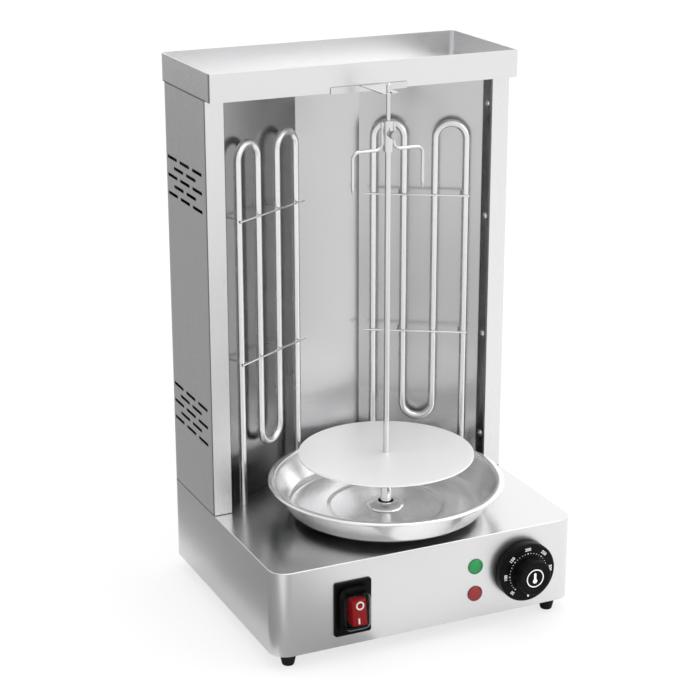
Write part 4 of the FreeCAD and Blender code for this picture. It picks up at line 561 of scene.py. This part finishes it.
# ---------------------------------------------------------------- dial knob

DIAL_MARKS = ((227, "50"), (182, "100"), (137, "150"), (92, "200"), (47, "250"), (2, "300"))
DIAL_FRONT = -144.5
GRIP_FRONT = -159.5


def on_dial(angle, radius, y):
    """A place on the dial's face in millimetres."""
    turn = math.radians(angle)
    return (104.5 + radius * math.cos(turn), y, 60 + radius * math.sin(turn))


def make_dial():
    """Skirt with a rounded rim and a low inner step, and a drafted grip with a dished face."""
    profile = [(0, 27.2), (12.6, 27.3), (13.6, 28.0)] + arc((16.6, 26.6), 1.4, 90, 5, 6)
    profile += [(18.6, 20), (19.0, 14.4), (19.9, 13.2), (22, 13.0), (28.2, 13.0)]
    profile += arc((28.8, 10.8), 2.2, 90, 0, 8) + [(31, 5)] + arc((30, 4.2), 1, 0, -90, 4)
    profile += [(27, 3.2), (27, 6.2), (8, 6.2), (8, 3.2), (3, 3.2), (3, 14), (0, 14)]
    knob = turned("dial_knob", profile, steps=96)
    move_to(knob, (104.5, -131.5, 60), (90, 0, 0))
    finished(knob, black_plastic, "black_plastic", "dial", "thermostat_knob", smooth=30)

    marks = []
    for angle, label in DIAL_MARKS:
        clear_selection()
        bpy.ops.object.text_add(location=(0, 0, 0))
        text = bpy.context.object
        text.data.body = label
        text.data.size = 4.6 * MM
        text.data.extrude = 0.12 * MM
        text.data.offset = 0.09 * MM
        text.data.align_x = text.data.align_y = "CENTER"
        pick(text)
        bpy.ops.object.convert(target="MESH")
        text = bpy.context.object
        move_to(text, (0, 0, 0), (90, 0, 0))
        move_to(text, on_dial(angle, 25.4, DIAL_FRONT), (0, 90 - angle, 0))
        marks.append(text)
    for step in range(0, 26):
        angle = 227 - 9 * step
        size = 0.85 if step % 5 == 0 else 0.48
        dot = turned("dot", [(0, 0.14), (size, 0.12), (size, -0.1), (0, -0.1)], steps=14)
        move_to(dot, (0, 0, 0), (90, 0, 0))
        move_to(dot, on_dial(angle, 20.9, DIAL_FRONT))
        marks.append(dot)
    off_mark = prism("off_mark", [(-0.5, -1.4), (0.5, -1.4), (1.5, 1.2), (-1.5, 1.2)], -0.12)
    move_to(off_mark, on_dial(272, 25.2, DIAL_FRONT + 0.02))
    marks.append(off_mark)
    finished(joined("dial_marks", marks), mark_paint, "white_plastic", "dial", smooth=30)

    ring = turned("dial_ring", [(8.5, -0.9), (9.7, -0.9), (9.7, 0.06), (9.5, 0.16), (8.7, 0.16), (8.5, 0.06),
                                (8.5, -0.9)], steps=64)
    move_to(ring, (104.5, GRIP_FRONT + 0.75, 60), (90, 0, 0))
    bulb = [(x, z - 2.9) for x, z in arc((0, 0), 2.5, 122, 418, 18)]
    stem = [(1.3, 4.6)] + [(x, z + 4.6) for x, z in arc((0, 0), 1.3, 15, 165, 7)] + [(-1.3, 4.6)]
    sign = prism("sign", bulb + stem, -0.16)
    move_to(sign, (104.3, GRIP_FRONT + 0.75, 60))
    finished(joined("dial_sign", [ring, sign]), mark_paint, "white_plastic", "dial", smooth=30)


make_dial()


# ---------------------------------------------------------------- rocker switch

SWITCH = (-84, -131.5, 56)
PIVOT_Y = -133.5
ROCKER_TILT = -6


def rocker_face(z):
    """How far ahead of the pivot the dished face is at a height."""
    return 12.2 - 1.1 * (1 - (z / 15) ** 2)


def make_rocker():
    """A dished red rocker with rounded edges, its two pivot pins, and the O and I that stand on its face."""
    heights = [-15 + 26 * i / 12 for i in range(13)]
    side = [(-rocker_face(z), z) for z in heights] + [(0, 11), (6, 4), (6, -4), (0, -14)]
    rocker = prism("rocker_lever_red", side, 15)
    move_to(rocker, (9.0, 0, 0), (0, 0, 90))
    soften(rocker, 0.7, segments=3, angle=40)
    pins = turned("pins", [(0, -12), (1.2, -12), (1.5, -11.7), (1.5, 11.7), (1.2, 12), (0, 12)], steps=24)
    move_to(pins, (0, 0, 0), (0, 90, 0))
    rocker = joined("rocker_lever_red", [rocker, pins])
    move_to(rocker, (SWITCH[0], PIVOT_Y, SWITCH[2]), (ROCKER_TILT, 0, 0))
    finished(rocker, red_plastic, "red_plastic", "rocker_lever", "rocker", smooth=35)

    def face_point(x, z):
        return (x, -rocker_face(z) - 0.1, z)

    def mark(name, rim, hole=()):
        """A thin plate that follows the dished face, drawn as a strip between two closed lines."""
        outer = [face_point(*p) for p in rim]
        inner = [face_point(*p) for p in hole]
        piece = chain(name, [Vector(p) * MM for p in outer + outer[:1]])
        bpy.ops.mesh.remove_doubles(threshold=0.002 * MM)
        bpy.ops.object.mode_set(mode="OBJECT")
        if not inner:
            pick(piece)
            bpy.ops.object.mode_set(mode="EDIT")
            bpy.ops.mesh.select_all(action="SELECT")
            bpy.ops.mesh.edge_face_add()
            tidy_faces()
        else:
            other = chain(name + "_hole", [Vector(p) * MM for p in inner + inner[:1]])
            bpy.ops.mesh.remove_doubles(threshold=0.002 * MM)
            bpy.ops.object.mode_set(mode="OBJECT")
            piece = joined(name, [piece, other])
            bpy.ops.object.mode_set(mode="EDIT")
            bpy.ops.mesh.select_all(action="SELECT")
            bpy.ops.mesh.bridge_edge_loops()
            tidy_faces()
        apply_modifier(piece, "SOLIDIFY", thickness=0.25 * MM, offset=0)
        return piece

    def oval(x, z, width, height, count=32):
        return [(x + width * math.cos(math.tau * i / count), z + height * math.sin(math.tau * i / count))
                for i in range(count)]

    off_mark = mark("mark_o", oval(2.4, 5.0, 4.3, 4.4), oval(2.4, 5.0, 2.8, 2.9))
    on_mark = mark("mark_i", [(-0.2, -13.2), (-0.2, -7.6), (1.4, -7.6), (1.4, -13.2)])
    marks = joined("rocker_marks", [off_mark, on_mark])
    move_to(marks, (SWITCH[0], PIVOT_Y, SWITCH[2]), (ROCKER_TILT, 0, 0))
    finished(marks, mark_paint, "white_plastic", "rocker_lever", smooth=30)


def rounded_block(name, width, depth, height, corner, front_round):
    """A block centred on X and Z whose front is at y = 0, with rounded upright corners and a softer front edge."""
    clear_selection()
    bpy.ops.mesh.primitive_cube_add(size=1, location=(0, depth / 2 * MM, 0))
    block = bpy.context.object
    block.name = name
    block.scale = (width * MM, depth * MM, height * MM)
    bpy.ops.object.transform_apply(location=True, rotation=True, scale=True)
    bpy.ops.object.mode_set(mode="EDIT")
    points = block.data.vertices

    def runs_back(edge):
        one, two = (points[i].co for i in edge.vertices)
        return abs(one.y - two.y) > 0.5 * depth * MM

    select_where(block, "edges", runs_back)
    bpy.ops.mesh.bevel(offset=corner * MM, segments=8, affect="EDGES")
    select_where(block, "edges", lambda edge: all(block.data.vertices[i].co.y < 0.01 * MM for i in edge.vertices))
    bpy.ops.mesh.bevel(offset=front_round * MM, segments=4, affect="EDGES")
    bpy.ops.mesh.select_all(action="DESELECT")
    return block


def make_boot():
    """The clear cap over the rocker: a thin shell with a rounded front and an open back."""
    boot = rounded_block("clear_boot", 27, 10.8, 38, 6, 2.4)
    select_where(boot, "polygons", lambda face: face.normal.y > 0.9)
    bpy.ops.mesh.delete(type="FACE")
    bpy.ops.object.mode_set(mode="OBJECT")
    apply_modifier(boot, "SOLIDIFY", thickness=0.8 * MM, offset=-1)
    move_to(boot, (SWITCH[0], -147.3, SWITCH[2]))
    finished(boot, clear_vinyl, "clear_plastic", "housing", "switch_boot", smooth=40)


make_rocker()
make_boot()


# ---------------------------------------------------------------- lamp lenses

def make_lamp(name, z, look, slot, node):
    """A domed lens with a low bevelled rim."""
    profile = [(0, 3.0)] + [(8 * t, 3.0 - 1.5 * t ** 2.2) for t in (0.15, 0.3, 0.45, 0.6, 0.72, 0.82)]
    profile += [(6.9, 1.75), (7.1, 1.6), (7.4, 1.62), (7.75, 1.35), (8, 0.9), (8, 0), (4.8, 0), (4.8, -5), (0, -5)]
    lens = turned(name, profile, steps=64)
    move_to(lens, (51.3, -131.5, z), (90, 0, 0))
    finished(lens, look, slot, "housing", node, smooth=30)


make_lamp("green_lamp_dome", 72, green_lens, "green_lens", "green_lamp_lens")
make_lamp("red_lamp_dome", 42.5, red_lens, "red_lens", "red_lamp_lens")


# ---------------------------------------------------------------- reflector screws

def make_strip_screws():
    """Eight pan heads with a cross recess, on the two inner strips."""
    dome = through((0, 2.0), (1.9, 1.62), (3.4, 0.45), 8)
    screw = turned("strip_screw", dome + [(3.4, 0), (1.5, 0), (1.5, -4.5), (0, -5)], steps=32)
    arms = 0.42
    cross = []
    for i in range(4):
        turn = math.tau * i / 4
        for x, z in ((arms, arms), (arms, 1.9), (-arms, 1.9)):
            cross.append((x * math.cos(turn) - z * math.sin(turn), x * math.sin(turn) + z * math.cos(turn)))
    cutter = prism("cross_cutter", cross, 3)
    move_to(cutter, (0, 0, 0.9), (-90, 0, 0))
    bpy.ops.object.mode_set(mode="EDIT")
    tidy_faces()
    low = min(v.co.z for v in cutter.data.vertices)
    move_to(cutter, (0, 0, 0.95 - low / MM))
    apply_modifier(screw, "BOOLEAN", object=cutter, operation="DIFFERENCE", solver="EXACT")
    bpy.data.objects.remove(cutter, do_unlink=True)
    screws = []
    for side in (-1, 1):
        for index, z in enumerate((142, 254.5, 383, 501)):
            spun = copied(screw, (0, 0, 0), (0, 0, 17 + 31 * index + 9 * side))
            move_to(spun, (side * 145.2, 33.5, z), (0, -side * 90, 0))
            screws.append(spun)
    bpy.data.objects.remove(screw, do_unlink=True)
    finished(joined("strip_screws", screws), chrome, "chrome", "housing", "reflector_screws", smooth=30)


make_strip_screws()


# ---------------------------------------------------------------- feet and gland

def make_feet():
    """Four tapered rubber feet with a ribbed waist and a recess for the screw."""
    profile = [(2.0, 16), (8.6, 16), (9, 15.6), (8.9, 14.8), (8.5, 14.4), (8.4, 13.6), (8.6, 13.2)]
    profile += [(7.0, 5), (6.2, 1.4)] + arc((4.9, 1.2), 1.2, 0, -90, 5) + [(4.5, 0), (4.3, 0.2), (4.3, 5), (2.0, 5),
                                                                       (2.0, 16)]
    foot = turned("foot", profile, steps=40)
    feet = [copied(foot, (x, y, 0)) for x in (-145, 145) for y in (-114.5, 130.5)]
    bpy.data.objects.remove(foot, do_unlink=True)
    finished(joined("rubber_feet", feet), rubber, "black_rubber", "housing", "feet", smooth=30)


def make_gland():
    """The cord gland: a six-sided flange, a ribbed nose that narrows, and a bore for the cord."""
    barrel = [(4, -10), (7.8, -10), (7.8, 2.6), (10.0, 2.6), (10.3, 3.2), (10.3, 3.9), (9.6, 4.3), (9.9, 4.9), (9.8, 5.6),
              (9.0, 6.0), (9.2, 6.6), (9.1, 7.2), (8.4, 7.6), (8.6, 8.2), (8.4, 8.9), (7.8, 9.3), (7.8, 10.4),
              (7.4, 11.4), (6.4, 12.0), (4.6, 12.0), (4.0, 11.4), (4, -10)]
    nose = turned("gland_nose", barrel, steps=48)
    flange = turned("gland_flange", [(7.6, 0), (12, 0), (12, 3), (7.6, 3), (7.6, 0)], steps=6)
    soften(flange, 0.5, segments=2, angle=25)
    gland = joined("cord_gland_ribbed", [nose, flange])
    move_to(gland, (105, 147.5, 44), (-90, 0, 0))
    finished(gland, black_plastic, "black_plastic", "housing", "cord_gland", smooth=30)


make_feet()
make_gland()


# ---------------------------------------------------------------- studio

def make_floor():
    clear_selection()
    bpy.ops.mesh.primitive_plane_add(size=40, location=(0, 0, 0))
    floor = bpy.context.object
    floor.name = "studio_floor"
    material, tree, shader = new_material("pale_floor", (0.93, 0.93, 0.93), roughness=0.8)
    place = add(tree, "ShaderNodeTexCoord").outputs["Object"]
    slow = add(tree, "ShaderNodeTexNoise", {"Vector": place, "Scale": 3.0}).outputs[0]
    tree.links.new(spread(tree, slow, 0.75, 0.85), shader.inputs["Roughness"])
    seen = add(tree, "ShaderNodeEmission", {"Color": (1, 1, 1, 1), "Strength": 1.0}).outputs[0]
    share = add(tree, "ShaderNodeMath", {0: add(tree, "ShaderNodeLightPath").outputs["Is Camera Ray"], 1: 0.72},
                operation="MULTIPLY").outputs[0]
    surface = add(tree, "ShaderNodeMixShader", {0: share, 1: shader.outputs[0], 2: seen}).outputs[0]
    tree.links.new(surface, tree.nodes["Material Output"].inputs["Surface"])
    floor.data.materials.append(material)


def make_card(name, place, width, height, shade, turn=0):
    """A matt card that lies on the floor and only shows in reflections."""
    clear_selection()
    bpy.ops.mesh.primitive_plane_add(size=1, location=place)
    card = bpy.context.object
    card.name = name
    card.scale = (width, height, 1)
    card.rotation_euler = (0, 0, math.radians(turn))
    material, tree, shader = new_material(name, (shade, shade, shade), roughness=0.9)
    card.data.materials.append(material)
    card.visible_camera = False
    card.visible_shadow = False
    card.visible_diffuse = False


def make_light(name, place, aim, size, power, colour=(1, 1, 1)):
    data = bpy.data.lights.new(name, "AREA")
    data.shape = "RECTANGLE"
    data.size, data.size_y = size
    data.energy = power
    data.color = colour
    lamp = bpy.data.objects.new(name, data)
    bpy.context.scene.collection.objects.link(lamp)
    lamp.location = place
    lamp.rotation_euler = (Vector(aim) - Vector(place)).to_track_quat("-Z", "Y").to_euler()


def make_sky():
    """A pale surround that is brighter to the right and overhead than to the left."""
    world = bpy.data.worlds.new("pale_surround")
    bpy.context.scene.world = world
    world.use_nodes = True
    tree = world.node_tree
    way = add(tree, "ShaderNodeTexCoord").outputs["Generated"]
    side = add(tree, "ShaderNodeSeparateXYZ", {"Vector": way}).outputs["X"]
    level = add(tree, "ShaderNodeMapRange", {"Value": side, "From Min": -0.7, "From Max": 0.6,
                                             "To Min": 0.85, "To Max": 1.40}).outputs[0]
    background = tree.nodes["Background"]
    tree.links.new(level, background.inputs["Strength"])
    background.inputs["Color"].default_value = (1, 1, 1, 1)


make_floor()
make_sky()
make_card("left_floor_card", (-1.8, 2.135, 0.004), 3.2, 4.73, 0.30)
make_card("front_left_card", (-0.50, -0.79, 0.004), 0.50, 0.56, 0.55)
make_card("front_card", (-0.13, -0.34, 0.005), 0.16, 0.4, 0.42)
make_card("left_flange_card", (0.30, -1.0, 0.006), 1.3, 0.2, 0.40, turn=-66)
make_light("key_light", (1.5, -1.8, 1.9), (0, 0, 0.25), (1.6, 1.6), 10)
make_light("top_light", (0.1, -0.3, 2.4), (0, 0, 0), (1.8, 1.8), 9)

camera = bpy.data.objects.new("photo_camera", bpy.data.cameras.new("photo_camera"))
bpy.context.scene.collection.objects.link(camera)
camera.location = (-0.7911, -1.6433, 0.8803)
camera.rotation_euler = (math.radians(90 - 18.60), 0, math.radians(-24.99))
camera.data.sensor_width = 36
camera.data.lens = 97.86
bpy.context.scene.camera = camera
bpy.context.scene.view_settings.view_transform = "Standard"
